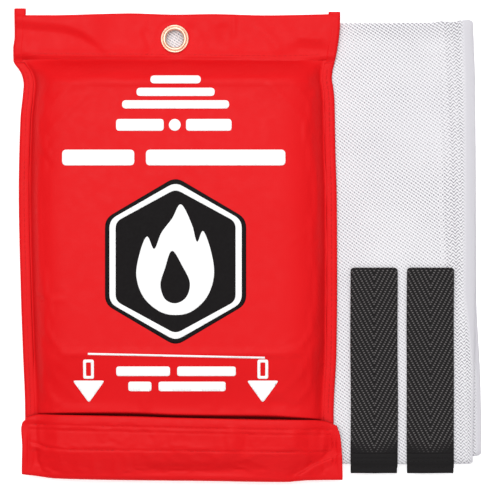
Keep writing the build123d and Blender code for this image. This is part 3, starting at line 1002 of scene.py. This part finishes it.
def front_height(x, y):
    """The front panel's height over a place, with its slack settled."""
    x, y = np.broadcast_arrays(np.asarray(x, float), np.asarray(y, float))
    left, right = left_edge(y) + 0.4, right_edge(y) - 0.4
    along = (y - MOUTH) / (HEADER_FOOT + 4.0 - MOUTH)
    return front_shape(x, y) + PANEL_SLACK.at((x - left) / (right - left), along)


def front_panel_piece():
    """The puffed front panel."""
    x, y = panel_grid(panel_rows(), uneven(178.0, 0.8, 1.7, 20.0))
    grid = np.stack([x, y, front_height(x, y)], axis=-1)
    piece = sheet_from_grid("front_panel", grid, SHEET_THICK, RED, np.stack([x, y], axis=-1))
    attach(piece, "pouch")
    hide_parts("pouch_front_panel")


# ---------------------------------------------------------------- back panel and flap

FLAP_FOLDS = [
    (-0.5, 0.7, [(4.2, 31.0), (4.0, 20.0), (3.9, 10.0), (3.6, 4.5)]),
    (0.3, 1.2, [(2.0, 30.0), (1.9, 18.0), (1.8, 8.0)]),
    (-0.6, 0.8, [(3.0, 23.2), (8.5, 21.6), (15.0, 19.6), (26.0, 18.6)]),
    (0.4, 1.3, [(4.0, 20.5), (10.0, 19.2), (16.0, 17.4)]),
    (-0.8, 2.4, [(8.0, 21.0), (8.2, 12.0), (9.0, 6.0)]),
    (0.7, 1.1, [(10.5, 8.5), (16.0, 5.6), (23.0, 2.4)]),
    (-0.55, 1.6, [(9.0, 6.5), (15.0, 3.8), (20.0, 1.8)]),
    (-1.7, 0.6, [(144.0, -5.0), (156.9, 4.5), (164.8, 9.4), (174.5, 13.4), (186.0, 18.0)], 9.0),
    (-0.5, 0.8, [(168.0, 4.0), (172.0, 6.4), (177.5, 10.4)]),
    (-0.8, 0.5, [(175.9, 1.0), (175.9, 12.0), (175.7, 22.0), (175.0, 30.5)]),
    (-0.7, 0.5, [(177.7, 1.0), (177.7, 12.0), (177.5, 22.0), (176.4, 29.5)]),
    (0.8, 4.2, [(119.5, 33.0), (119.0, 25.0), (119.0, 16.0)]),
    (-0.75, 3.8, [(127.5, 30.0), (127.0, 22.0), (128.0, 14.0)]),
    (0.8, 4.0, [(153.0, 31.0), (153.0, 24.0), (152.0, 17.0)]),
    (-0.8, 3.4, [(161.5, 31.0), (161.5, 23.0), (161.0, 16.0)]),
    (0.7, 2.8, [(171.0, 30.0), (171.0, 22.0), (170.0, 15.0)]),
    (0.35, 3.2, [(80.0, 20.5), (96.0, 19.4), (112.0, 20.4)]),
    (-1.3, 3.6, [(52.0, 9.0), (80.0, 6.6), (112.0, 6.8), (146.0, 9.2)]),
    (0.45, 1.1, [(28.0, 3.4), (70.0, 2.9), (110.0, 2.4), (146.0, 2.3)]),
]


def hem_line(x):
    """The straight line that the flap's hem and its upper stitches keep to."""
    return FLAP_HIGH[1] + 1.6 - 0.0196 * (x - FLAP_LOW[0] - 5.6)


def lower_row(x):
    """The flap's lower row of stitches."""
    return node_box("hook_strip")[0][1] + 2.6 - 0.011 * (x + 60.0)


# The back panel lies below these heights and the flap above them; the fold bends between.
HINGE_FOOT, HINGE_TOP = BACK_HIGH[2] + 0.35, BACK_HIGH[2] + 0.95


def flap_height(x, y):
    """The height of the flap's face, which lies over the front panel's mouth."""
    under = PUFF_BASE + (SHELF_TOP - PUFF_BASE) * (
        1 - np.abs(2 * np.clip((x - FLAP_LOW[0] - 8) / 166, 0, 1) - 1) ** 7.0
    )
    hang = smoothstep(x, FLAP_LOW[0], FLAP_LOW[0] + 22) * smoothstep(-x, -FLAP_HIGH[0], -FLAP_HIGH[0] + 22)
    low_face = PUFF_BASE + 2.0
    face = low_face + (under + 2.0 - low_face) * hang
    from_edge = hem_line(x) - y
    between = smoothstep(x, -124.5, -121.5) * smoothstep(-x, -48.5, -46.5)
    roll = 0.4 * bump(from_edge, 2.2, 1.9)
    lines = 0.15 * bump(from_edge, 6.2, 1.0) - 0.32 * bump(from_edge, 4.7, 0.6)
    lines = lines - 0.25 * bump(from_edge, 7.6, 0.6)
    lines = lines - 0.4 * bump(y, lower_row(x), 0.6) * smoothstep(x, -112.0, -98.0)
    fall = 4.4 * smoothstep(-y, 114.0, 134.0) * (0.25 + 0.75 * hang)
    soft = 0.3 * ripple(x, y * 1.4, 32.0, 32) + 0.08 * ripple(x, y, 11.0, 33)
    folds = soft + creases(x, y, FLAP_LOW, FLAP_FOLDS)
    return np.maximum(face + roll + lines * between - fall + folds, HINGE_TOP + 0.35)


FLAP_REACH = 3.0  # how far the fold at the foot turns in before it meets the flap's face
BACK_SHARES = uneven(181.0, 0.5, 1.7, 11.0)


def flap_rows(share):
    """The rows of the flap's face, from its foot to its free edge."""
    sides = flap_sides(-129.0)
    x = sides[0] + (sides[1] - sides[0]) * share
    start, free = foot_edge(x) + FLAP_REACH, free_edge(x)
    rows = []
    for step in np.linspace(0, 1, 50):
        y = start + (free - start) * step
        left, right = flap_sides(y)
        rows.append(np.stack([left + (right - left) * share, y], axis=-1))
    return np.array(rows)


def flap_slack():
    """The flap's cloth simulation."""
    plan = flap_rows(np.linspace(0, 1, 86))[::2]
    grid = np.concatenate([plan, flap_height(plan[..., 0], plan[..., 1])[..., None]], axis=-1)
    held = np.zeros(grid.shape[:2], bool)
    held[:1], held[-3:], held[:, :4], held[:, -4:] = True, True, True, True
    return Slack(cloth_change(grid, held, growth=0.010, cap=0.4))


def back_and_flap_grid():
    """The back panel's sheet, which turns up at its foot and over the mouth as the flap."""
    share = BACK_SHARES
    rows = []
    top, near_eyelet = COVER_HIGH[1] - 2.0, (EYELET[1] + 9.0, EYELET[1] - 9.0)
    spots = [np.linspace(top, near_eyelet[0], 4)[:-1], np.linspace(*near_eyelet, 19)]
    spots.append(np.linspace(near_eyelet[1], -124.0, 60)[1:])
    for y in np.concatenate(spots):
        left, right = left_edge(y) + 0.8, right_edge(y) - 0.8
        raised = 0.3 * smoothstep(y, 99.0, 106.0)
        x = left + (right - left) * share
        rows.append(np.stack([x, np.full_like(x, y), np.full_like(x, BACK_MIDDLE + raised)], axis=-1))
    plan = flap_rows(share)
    slack = flap_slack()
    z = flap_height(plan[..., 0], plan[..., 1])
    along = np.linspace(0, 1, len(plan))[:, None]
    z = z + slack.at(share[None, :] * np.ones_like(along), along * np.ones((1, len(share))))
    x_foot, y_foot, z_foot = plan[0, :, 0], plan[0, :, 1] - FLAP_REACH, z[0]
    half = (z_foot - BACK_MIDDLE) / 2
    for turn in np.linspace(0, math.pi, 17)[:-1]:
        y = y_foot + FLAP_REACH * (1 - math.sin(turn))
        rows.append(np.stack([x_foot, y, BACK_MIDDLE + half * (1 - math.cos(turn))], axis=-1))
    rows += list(np.concatenate([plan, z[..., None]], axis=-1))
    edge = rows[-1]
    for turn in (0.5, 1.1, 1.7, 2.3, math.pi):
        shift = np.array((0.0, 0.75 * math.sin(turn), -0.75 * (1 - math.cos(turn))))
        rows.append(np.maximum(edge + shift, (-np.inf, -np.inf, HINGE_TOP + 0.35)))
    for reach in (2.0, 4.0):
        below = rows[-1].copy()
        below[:, 1] = edge[:, 1] - reach
        below[:, 2] = np.maximum(flap_height(below[:, 0], below[:, 1]) - 1.5, HINGE_TOP + 0.35)
        rows.append(below)
    return np.array(rows)


def round_hole(points, faces, centre, radius):
    """Cut a neat round hole: drop the faces in it and draw the ones around it to its rim."""
    away = points[:, :2] - np.asarray(centre)[:2]
    reach = np.hypot(away[:, 0], away[:, 1])
    faces = [face for face in faces if np.mean(reach[list(face)]) > radius]
    near = (reach < radius * 1.1) & (reach > 0.1)
    points[near, :2] += away[near] * (radius / reach[near] - 1)[:, None]
    return points, faces


def length_along(grid):
    """The distance along a grid's rows, for a cloth map."""
    steps = np.linalg.norm(np.diff(grid, axis=0), axis=2).mean(axis=1)
    return np.concatenate([[0], np.cumsum(steps)])[:, None]


def back_and_flap_piece():
    """One sheet: the back panel, its fold at the foot, and the closing flap."""
    grid = back_and_flap_grid()
    uv = np.stack(np.broadcast_arrays(grid[..., 0], length_along(grid)), axis=-1)
    grid, uv = grid[:, ::-1], uv[:, ::-1]
    flat = grid.reshape(-1, 3).copy()
    on_back = len([1 for row in grid if row[0, 2] < BACK_MIDDLE + 1.0 and row[0, 1] > 90])
    count = on_back * grid.shape[1]
    faces = grid_faces(*grid.shape[:2])
    first = [face for face in faces if max(face) < count]
    rest = [face for face in faces if max(face) >= count]
    flat[:count], first = round_hole(flat[:count], first, EYELET, 6.2)
    piece = solid_sheet("back_panel_and_flap", flat, first + rest, SHEET_THICK, RED, uv)
    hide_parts("pouch_back_panel", "closing_flap")
    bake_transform(piece)


def strip_piece(name, node, body, height, material, offset, rows=10, columns=80):
    """A flat sewn strip that follows a surface, inside its CAD node's outline."""
    low, high = node_box(node)
    y = np.linspace(low[1], high[1], rows)[:, None] * np.ones((1, columns))
    x = np.linspace(low[0], high[0], columns)[None, :] * np.ones((rows, 1))
    grid = np.stack([x, y, height(x, y) + offset], axis=-1)
    piece = sheet_from_grid(name, grid, 0.5, material, np.stack([x, y], axis=-1))
    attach(piece, body)
    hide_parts(node)
    return piece


def stitch_row(name, route, height, spacing, stitch, radius, material):
    """Stitches along a route of points, lying on a surface."""
    starts, ends = [], []
    spans = np.concatenate([[0], np.cumsum(np.hypot(*np.diff(np.array(route), axis=0).T))])
    x_at, y_at = np.array(route).T
    for begin in np.arange(0.0, spans[-1] - stitch, spacing):
        for spot, ends_of in ((begin, starts), (begin + stitch, ends)):
            x, y = np.interp(spot, spans, x_at), np.interp(spot, spans, y_at)
            z = float(height(np.array([x]), np.array([y]))[0])
            ends_of.append((x, y, z + SHEET_THICK / 2 + radius * 0.2))
    return thread_row(name, starts, ends, radius, material)


def flap_threads():
    """The two rows of stitches that hold the hook strip to the flap."""
    x = np.linspace(-121.0, 47.0, 60)
    upper = np.column_stack([x, hem_line(x) - 4.7])
    lower = np.column_stack([x[6:], lower_row(x[6:])])
    for name, route in (("flap_stitches_upper", upper), ("flap_stitches_lower", lower)):
        piece = stitch_row(name, route, flap_height, 3.0, 2.3, 0.13, RED_THREAD)
        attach(piece, "flap")
    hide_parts("flap_stitching")


# ---------------------------------------------------------------- header

HEADER_TOP_STEPS = [(0, -0.6), (22, -0.6), (66, 0.5), (92, -0.2), (112, 0.1), (142, -0.6), (185, 0.2)]
HEADER_FOOT_STEPS = [(0, 0.4), (42, 0.2), (92, -0.2), (152, -0.9), (185, 0.2)]
COVER_TOP = COVER_HIGH[2] + 0.2
HEADER_FOLDS = [
    (-0.3, 3.0, [(73.0, 20.5), (76.5, 11.0), (80.5, 1.0)]),
    (0.15, 2.4, [(69.0, 20.0), (72.0, 12.0), (76.0, 3.0)]),
    (-0.3, 3.2, [(99.0, 22.0), (104.0, 14.0), (110.0, 5.0)]),
    (0.2, 1.1, [(124.8, 28.0), (124.8, 20.0), (124.6, 11.0)]),
    (-0.35, 4.0, [(118.0, 22.0), (119.0, 15.0), (121.0, 7.0)]),
    (0.28, 2.8, [(136.5, 20.0), (143.0, 15.0), (149.0, 8.0), (152.5, 1.5)]),
    (-0.55, 3.6, [(153.0, 6.5), (164.0, 6.0), (176.0, 5.2), (184.0, 6.0)]),
    (0.4, 2.4, [(158.0, 14.0), (168.0, 12.5), (178.0, 12.0)]),
    (0.35, 0.7, [(6.0, 3.6), (10.0, 3.0), (15.0, 2.6)]),
    (0.3, 0.6, [(6.0, 5.2), (9.0, 4.9), (13.0, 4.6)]),
    (0.35, 0.7, [(6.5, 1.6), (10.0, 1.2), (14.0, 1.1)]),
]
FOLD_LINE = [(0, 20.5), (10, 19.4), (28, 17.6), (38, 14.6), (44, 11.2), (49, 7.6), (53, 3.5)]


def header_foot(x):
    """The header's lower seam."""
    return HEADER_FOOT + smooth_line(HEADER_FOOT_STEPS, x - EAR_LOW[0])


def header_height(x, y):
    """The height of the header's front face, with its folds and the creases by the eyelet."""
    foot = header_foot(x)
    ridge = 0.3 * bump(y, foot + 1.6, 1.0) - 0.2 * bump(y, foot + 3.8, 1.4)
    reach, up = x - EAR_LOW[0], y - HEADER_FOOT
    ledge = 1.7 * smoothstep(up - smooth_line(FOLD_LINE, reach), -3.2, 3.2) * smoothstep(-reach, -58, -40)
    pinch = -0.3 * bump(np.hypot(x - EYELET[0], y - EYELET[1]), 9.4, 1.8)
    soft = 0.22 * ripple(x, y, 30.0, 41) + 0.05 * ripple(x, y, 11.0, 42)
    folds = 1.8 * creases(x, y, (EAR_LOW[0], HEADER_FOOT), HEADER_FOLDS)
    ends = 0.4 * bump(x, left_edge(y) + 6.0, 3.0) + 0.4 * bump(x, right_edge(y) - 6.0, 3.0)
    face = COVER_TOP + ends + ridge + ledge + pinch + soft + folds
    on_panel = front_height(x, y) - 0.1 + 0.2 * (y - foot)
    return face + (on_panel - face) * smoothstep(foot + 4.0 - y, 0.0, 4.0)


def header_top(x):
    """The header's top edge."""
    return COVER_HIGH[1] + smooth_line(HEADER_TOP_STEPS, x - EAR_LOW[0])


def header_piece():
    """The header's cover strip, folded over the top edge, with a hole for the eyelet."""
    columns = 185
    share = np.linspace(0, 1, columns)
    under_z = BACK_LOW[2] - 0.35
    ends = left_edge(120.0) + 0.6, right_edge(120.0) - 0.6
    x_mid = ends[0] + (ends[1] - ends[0]) * share
    top, foot = header_top(x_mid), header_foot(x_mid)
    rows = []
    for step in np.linspace(0, 1, 27):
        y = foot + (top - 1.3 - foot) * step
        x = left_edge(y) + 0.6 + (right_edge(y) - left_edge(y) - 1.2) * share
        rows.append(np.stack([x, y, header_height(x, y)], axis=-1))
    last = rows[-1]
    half = (last[:, 2] - under_z) / 2
    for turn in np.linspace(0, math.pi, 11)[1:]:
        y = last[:, 1] + 1.3 * math.sin(turn)
        rows.append(np.stack([last[:, 0], y, under_z + half * (1 + math.cos(turn))], axis=-1))
    for step in np.linspace(0, 1, 26)[1:]:
        y = last[:, 1] + (foot + 1.0 - last[:, 1]) * step
        x = left_edge(y) + 0.9 + (right_edge(y) - left_edge(y) - 1.8) * share
        rows.append(np.stack([x, y, np.full(columns, under_z)], axis=-1))
    grid = np.array(rows)
    uv = np.stack(np.broadcast_arrays(grid[..., 0], length_along(grid)), axis=-1)
    flat, faces = round_hole(grid.reshape(-1, 3).copy(), grid_faces(*grid.shape[:2]), EYELET, 6.0)
    piece = solid_sheet("header_cover", flat, faces, SHEET_THICK, RED, uv)
    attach(piece, "pouch")
    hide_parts("pouch_header_cover")

    x = np.linspace(-121.0, 43.0, 60)
    route = np.column_stack([x, header_foot(x) + 3.4])
    stitches = stitch_row("header_stitches", route, header_height, 3.0, 2.3, 0.11, RED_THREAD)
    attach(stitches, "pouch")
    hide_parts("header_seam_stitching")


def wrap_section(face, under, width, lip):
    """A tape's section round an edge, as (reach in from the edge, height), from over to under."""
    middle, half = (face + under) / 2, (face - under) / 2
    section = [(width, face - lip), (width - 0.5, face - 0.3 * lip)]
    section += [(width - 1.1, face), (width - 1.8, face + 0.07)]
    section += [(width * 0.5, face - 0.06), (width * 0.3, face + 0.04), (1.2, face)]
    section += [(1.2 - 1.2 * math.sin(a), middle + half * math.cos(a)) for a in (0.6, 1.1, 1.57, 2.04, 2.54)]
    return section + [(1.2, under), (width * 0.5, under), (width - 1.0, under)]


def tape_piece(name, node, sections, rows, side):
    """A binding tape from one section for each row, on the pouch's left or right edge."""
    edge = left_edge if side == "left" else right_edge
    inward = 1.0 if side == "left" else -1.0
    outline = edge(rows)
    grid = np.zeros((len(rows), len(sections[0]), 3))
    for row, (y, section) in enumerate(zip(rows, sections)):
        reach, z = np.array(section).T
        grid[row] = np.column_stack([outline[row] + inward * reach, np.full(len(reach), y), z])
    if side == "right":
        grid = grid[:, ::-1]
    across = np.linspace(0, 16.0, grid.shape[1])[None, :]
    uv = np.stack(np.broadcast_arrays(across, rows[:, None]), axis=-1)
    piece = sheet_from_grid(name, grid[:, ::-1], 0.45, TAPE, uv)
    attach(piece, "pouch")
    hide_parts(node)
    return piece


def ear_piece(side):
    """The tape that wraps a header end and stands above the top edge."""
    high = EAR_HIGH[1] if side == "left" else EAR_RIGHT_HIGH[1]
    inward = 1.0 if side == "left" else -1.0
    edge = left_edge if side == "left" else right_edge
    rows = np.linspace(102.4, high, 44)
    sections = []
    for y in rows:
        middle = float(edge(y)) + inward * 3.0
        face = float(header_height(np.array([middle]), np.array([min(y, 128.0)]))[0]) + 0.45
        past_top = float(smoothstep(y, 128.6, 130.8))
        near_foot = float(smoothstep(-y, -104.0, -102.4))
        face -= 1.0 * past_top + 0.5 * near_foot
        under = BACK_LOW[2] - 0.75 + 1.6 * past_top
        sections.append(wrap_section(face - 0.12, under, 5.6 + 0.8 * past_top, 0.75))
    return tape_piece(f"header_end_{side}", f"header_end_tape_{side}", sections, rows, side)


def side_tape_piece(side):
    """The folded tape that binds a side seam from the header down to the mouth."""
    rows = np.linspace(MOUTH, 103.2, 150)
    face, under = PUFF_BASE + 0.32, BACK_LOW[2] - 0.3
    swell = ripple(np.full(len(rows), 3.0), rows, 22.0, 61 if side == "left" else 62) * 0.2
    sections = [wrap_section(face + rise, under, TAPE_WIDTH, 0.35) for rise in swell]
    return tape_piece(f"side_tape_{side}", f"side_seam_tape_{side}", sections, rows, side)


def side_threads(side):
    """The stitches along a side seam tape."""
    y = np.linspace(-95.0, 101.0, 80)
    x = left_edge(y) + TAPE_WIDTH * 0.5 if side == "left" else right_edge(y) - TAPE_WIDTH * 0.5
    face = PUFF_BASE + 0.32 - 0.06
    route = np.column_stack([x, y])

    def height(px, _):
        return np.full(np.shape(px), face)

    piece = stitch_row(f"side_stitches_{side}", route, height, 3.0, 2.3, 0.11, RED_THREAD)
    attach(piece, "pouch")
    return piece


# ---------------------------------------------------------------- eyelet


def arc_profile(radius, height, size, start, end, count=9):
    """Part of a round bead's section, from one angle to another."""
    angles = np.linspace(start, end, count)
    return [(radius - size * math.cos(a), height + size * math.sin(a)) for a in angles]


def eyelet_pieces():
    """The rolled rim and barrel, and the washer that it is set over at the back."""
    face, low = COVER_TOP + SHEET_THICK / 2, EYELET_LOW[2]
    bore = 5.0
    profile = [(bore, low + 0.1), (bore, face + 0.3)]
    profile += arc_profile(bore + 0.95, face + 0.45, 0.95, 0.2, 2.75, 12)
    profile += [(bore + 1.9, face + 0.35)]
    profile += arc_profile(bore + 2.42, face + 0.3, 0.5, 0.4, 3.0, 9)
    profile += [(bore + 2.9, face - 0.1), (bore + 2.7, face - 0.4)]
    profile += [(bore + 0.6, face - 0.35), (bore + 0.6, low + 0.1)]
    rim = lathe("hanging_eyelet_rim", profile[::-1], EYELET[:2], BRASS)
    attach(rim, "pouch")
    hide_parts("hanging_eyelet")
    ring = [(5.62, low - 0.15), (5.9, low - 0.3), (7.6, low - 0.3), (7.94, low - 0.1), (7.8, low + 0.2)]
    washer = lathe("eyelet_back_washer", ring + [(5.62, low + 0.2)], EYELET[:2], BRASS)
    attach(washer, "pouch")
    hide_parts("eyelet_washer")


# ---------------------------------------------------------------- print

BADGE_LOW, BADGE_HIGH = node_box("print_badge_ground")
BADGE = (BADGE_LOW + BADGE_HIGH) / 2
BADGE_HALF = (BADGE_HIGH - BADGE_LOW) / 2
EMBLEM_LOW, EMBLEM_HIGH = node_box("print_emblem")
WORDS_LOW, WORDS_HIGH = node_box("print_word_bars")
PICTOGRAM_LOW, PICTOGRAM_HIGH = node_box("print_pull_pictograms")
FILM_LIFT = 0.10
FILM_THICK = 0.09


def rounded_loop(corners, radius, steps=6):
    """A closed outline with each corner rounded off."""
    corners = [np.array(corner, float) for corner in corners]
    loop = []
    for index, corner in enumerate(corners):
        before = corners[index - 1] - corner
        after = corners[(index + 1) % len(corners)] - corner
        reach = min(radius, np.linalg.norm(before) / 2.01, np.linalg.norm(after) / 2.01)
        start = corner + before / np.linalg.norm(before) * reach
        end = corner + after / np.linalg.norm(after) * reach
        for t in np.linspace(0, 1, steps):
            loop.append(tuple((1 - t) ** 2 * start + 2 * t * (1 - t) * corner + t * t * end))
    return loop


def bar_loop(left, right, low, high, radius=2.0):
    """A rounded bar."""
    return rounded_loop([(left, low), (right, low), (right, high), (left, high)], radius)


def smooth_loop(points, steps=7):
    """A closed smooth curve through a few points."""
    points = [np.array(point, float) for point in points]
    count = len(points)
    loop = []
    for index in range(count):
        p0, p1 = points[index - 1], points[index]
        p2, p3 = points[(index + 1) % count], points[(index + 2) % count]
        for t in np.linspace(0, 1, steps, endpoint=False):
            curve = 2 * p1 + (p2 - p0) * t + (2 * p0 - 5 * p1 + 4 * p2 - p3) * t * t
            curve = curve + (3 * p1 - p0 - 3 * p2 + p3) * t**3
            loop.append(tuple(curve / 2))
    return loop


def dense(loop, step=1.6):
    """The same outline with more points along its longer runs."""
    result = []
    for index, start in enumerate(loop):
        end = loop[(index + 1) % len(loop)]
        count = max(1, int(math.dist(start, end) / step))
        for part in range(count):
            share = part / count
            result.append((start[0] + (end[0] - start[0]) * share, start[1] + (end[1] - start[1]) * share))
    return result


def inside_loops(points, loops):
    """Which points are inside an odd number of outlines."""
    x, y = points[:, 0], points[:, 1]
    inside = np.zeros(len(points), bool)
    for loop in loops:
        corners = np.array(loop)
        for (x1, y1), (x2, y2) in zip(corners, np.roll(corners, -1, axis=0)):
            crosses = (y1 > y) != (y2 > y)
            reach = (x2 - x1) * (y - y1) / ((y2 - y1) or 1e-12) + x1
            inside ^= crosses & (x < reach)
    return inside


def print_piece(name, loops, material, node, lift=FILM_LIFT):
    """A printed film of some outlines, laid over the puffed front panel."""
    loops = [dense(loop) for loop in loops]
    verts, edges = [], []
    for loop in loops:
        base = len(verts)
        verts += [Vector(point) for point in loop]
        edges += [(base + i, base + (i + 1) % len(loop)) for i in range(len(loop))]
    span = np.array([tuple(v) for v in verts])
    low, high = span.min(0), span.max(0)
    grid_x, grid_y = np.meshgrid(np.arange(low[0], high[0], 1.5), np.arange(low[1], high[1], 1.5))
    fill = np.stack([grid_x.ravel() + 0.31, grid_y.ravel() + 0.17], axis=1)
    fill = fill[inside_loops(fill, loops)]
    verts += [Vector(point) for point in fill]
    points, _, faces, *_ = geometry.delaunay_2d_cdt(verts, edges, [], 0, 1e-5)
    flat = np.array([tuple(point) for point in points])
    middles = np.array([flat[list(face)].mean(0) for face in faces])
    faces = [tuple(face) for face, keep in zip(faces, inside_loops(middles, loops)) if keep]
    used = sorted({corner for face in faces for corner in face})
    order = {old: new for new, old in enumerate(used)}
    faces = [tuple(order[corner] for corner in face) for face in faces]
    flat = flat[used]
    z = front_height(flat[:, 0], flat[:, 1]) + SHEET_THICK / 2 + lift
    piece = solid_sheet(name, np.column_stack([flat, z]), faces, FILM_THICK, material, flat, edge=0.2)
    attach(piece, "pouch")
    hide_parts(node)


def badge_loop(inset, radius):
    """The tall hexagonal badge, shrunk by an inset all round."""
    half_x, half_y, shoulder = BADGE_HALF[0] - inset, BADGE_HALF[1] - inset * 1.15, 24.0 - inset * 0.3
    corners = [(0, half_y), (-half_x, shoulder), (-half_x, -shoulder)]
    corners += [(0, -half_y), (half_x, -shoulder), (half_x, shoulder)]
    return rounded_loop([(BADGE[0] + a, BADGE[1] + b) for a, b in corners], radius)


FLAME_OUTLINE = [
    (3, 34), (9, 23), (12, 13), (15.5, 19), (20, 7), (21.5, -6), (17.5, -18), (9, -26), (0, -28),
    (-9, -26), (-18, -18), (-22, -6), (-20, 7), (-16, 16), (-12, 9), (-8, 18), (-2, 26),
]
FLAME_HEART = [(-2, 8), (4, -1), (8, -10), (6, -18), (0, -21.5), (-6, -19), (-8.5, -11), (-6, -2)]


def flame_loops():
    """A plain three-tongued flame with a drop-shaped heart."""
    x, y = BADGE[0], BADGE[1] - 2.0
    outline = smooth_loop([(x + a, y + b) for a, b in FLAME_OUTLINE])
    heart = smooth_loop([(x + a, y + b) for a, b in FLAME_HEART])
    return [outline, heart]


def emblem_loops():
    """Three stacked bars that grow shorter upwards."""
    loops = []
    for step, share in enumerate((1.0, 0.73, 0.47)):
        low = EMBLEM_LOW[1] + step * 7.0
        half = (EMBLEM_HIGH[0] - EMBLEM_LOW[0]) / 2 * share
        loops.append(bar_loop(BADGE[0] - half, BADGE[0] + half, low, low + 4.6, 2.2))
    return loops


def word_loops():
    """Plain bars where lines of words would be, with a thin rule above the last two."""
    top, foot, left, right = WORDS_HIGH[1], WORDS_LOW[1], WORDS_LOW[0], WORDS_HIGH[0]
    lines = [
        (left + 30.3, left + 57.0, top - 6.6, top),
        (left + 69.5, right - 30.2, top - 6.6, top),
        (left, left + 40.5, top - 26.0, top - 17.2),
        (left + 47.0, right, top - 26.0, top - 17.2),
        (left + 30.3, left + 60.5, foot + 8.6, foot + 14.0),
        (left + 64.5, right - 27.8, foot + 8.6, foot + 14.0),
        (left + 37.0, left + 50.0, foot, foot + 5.4),
        (left + 54.0, right - 33.5, foot, foot + 5.4),
    ]
    loops = [bar_loop(*line, (line[3] - line[2]) * 0.28) for line in lines]
    radius = 3.3
    dot_x, dot_y = left + 63.2, top - radius
    turns = np.arange(0, TAU, TAU / 12)
    loops.append(smooth_loop([(dot_x + radius * math.cos(a), dot_y + radius * math.sin(a)) for a in turns]))
    rule_left, rule_right = (left + 14.5, foot + 20.6), (right - 11.5, foot + 18.4)
    rule_over = [(x, y + 1.1) for x, y in (rule_right, rule_left)]
    loops.append([rule_left, rule_right] + rule_over)
    return loops


PICTOGRAM_HALF = 8.5  # from a pictogram's middle to its side


def pictogram_loops(centre):
    """A strap and an arrow that points the way it is pulled."""
    top, foot = PICTOGRAM_HIGH[1], PICTOGRAM_LOW[1]
    strap = bar_loop(centre - 3.0, centre + 3.0, foot + 13.6, top - 0.6, 1.2)
    lines = bar_loop(centre - 1.4, centre + 1.4, foot + 15.2, top - 2.2, 0.6)
    arrow = [(centre - 9.0, foot + 12.6), (centre, foot), (centre + 9.0, foot + 12.6)]
    return [strap, lines, rounded_loop(arrow, 1.6)]


def build_print():
    """All the print on the front panel. Plain bars stand where words would be."""
    print_piece("badge_ground", [badge_loop(0.0, 5.0)], BLACK_INK, "print_badge_ground")
    ring_and_flame = [badge_loop(2.5, 4.5), badge_loop(5.9, 3.6)] + flame_loops()
    node = "print_badge_ring_and_flame"
    print_piece("badge_ring_and_flame", ring_and_flame, WHITE_INK, node, FILM_LIFT + 0.1)
    print_piece("emblem_bars", emblem_loops(), WHITE_INK, "print_emblem")
    print_piece("word_bars", word_loops(), WHITE_INK, "print_word_bars")
    pictograms = pictogram_loops(PICTOGRAM_LOW[0] + PICTOGRAM_HALF)
    pictograms += pictogram_loops(PICTOGRAM_HIGH[0] - PICTOGRAM_HALF)
    print_piece("pull_pictograms", pictograms, WHITE_INK, "print_pull_pictograms")


def build_pouch():
    """The whole pouch."""
    bindings = [side_tape_piece("left"), side_tape_piece("right"), ear_piece("left"), ear_piece("right")]
    threads = [side_threads("left"), side_threads("right")]
    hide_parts("side_seam_stitching")
    lift = SHEET_THICK / 2 + 0.27
    loop_tape = strip_piece("loop_tape", "loop_strip", "pouch", front_height, PILE, lift)
    hem = strip_piece("mouth_hem_tape", "mouth_hem", "pouch", front_height, TAPE, lift, rows=5)
    front_panel_piece()
    back_and_flap_piece()
    strip_piece("hook_tape", "hook_strip", "flap", flap_height, PILE, -lift - 0.4)
    flap_threads()
    header_piece()
    eyelet_pieces()
    build_print()


# ---------------------------------------------------------------- stage


def area_light(name, place, aim, size, power):
    """A soft square light."""
    data = bpy.data.lights.new(name, "AREA")
    data.shape = "SQUARE"
    data.size = size
    data.energy = power
    light = bpy.data.objects.new(name, data)
    light.location = place
    light.rotation_euler = (Vector(aim) - Vector(place)).to_track_quat("-Z", "Y").to_euler()
    bpy.context.scene.collection.objects.link(light)


def build_stage():
    """The camera straight above, soft light round it, and a plain pale floor."""
    scene = bpy.context.scene
    view_height = 0.2808
    camera = bpy.data.cameras.new("camera")
    camera.lens = 180.0
    camera.sensor_width = 36.0
    camera.sensor_fit = "AUTO"
    eye = bpy.data.objects.new("camera", camera)
    eye.location = (-0.002, -0.0018, view_height * camera.lens / camera.sensor_width + 0.013)
    scene.collection.objects.link(eye)
    scene.camera = eye

    size = 6.0
    corners = [(-size, -size, 0), (size, -size, 0), (size, size, 0), (-size, size, 0)]
    floor = mesh_object("floor", np.array(corners) / MM, [(0, 1, 2, 3)], floor_surface())
    floor.location.z = -0.0003

    area_light("upper_soft_box", (0.1, 1.2, 1.5), (0, 0, 0), 0.9, 12.0)
    area_light("lower_soft_box", (0.25, -1.2, 1.5), (0, 0, 0), 0.9, 6.0)
    area_light("key_light", (-0.8, 0.2, 1.5), (0, 0, 0), 0.6, 5.0)
    area_light("overhead", (-0.1, 0.3, 1.85), (0, 0, 0), 0.9, 14.4)
    area_light("fill_light", (1.1, 0.1, 1.4), (0, 0, 0), 0.7, 2.4)
    world = bpy.data.worlds.new("studio")
    scene.world = world
    world.use_nodes = True
    world.node_tree.nodes["Background"].inputs["Color"].default_value = (1, 1, 1, 1)
    world.node_tree.nodes["Background"].inputs["Strength"].default_value = 0.16
    scene.view_settings.view_transform = "Standard"


build_stage()
build_blanket()
build_straps()
build_pouch()
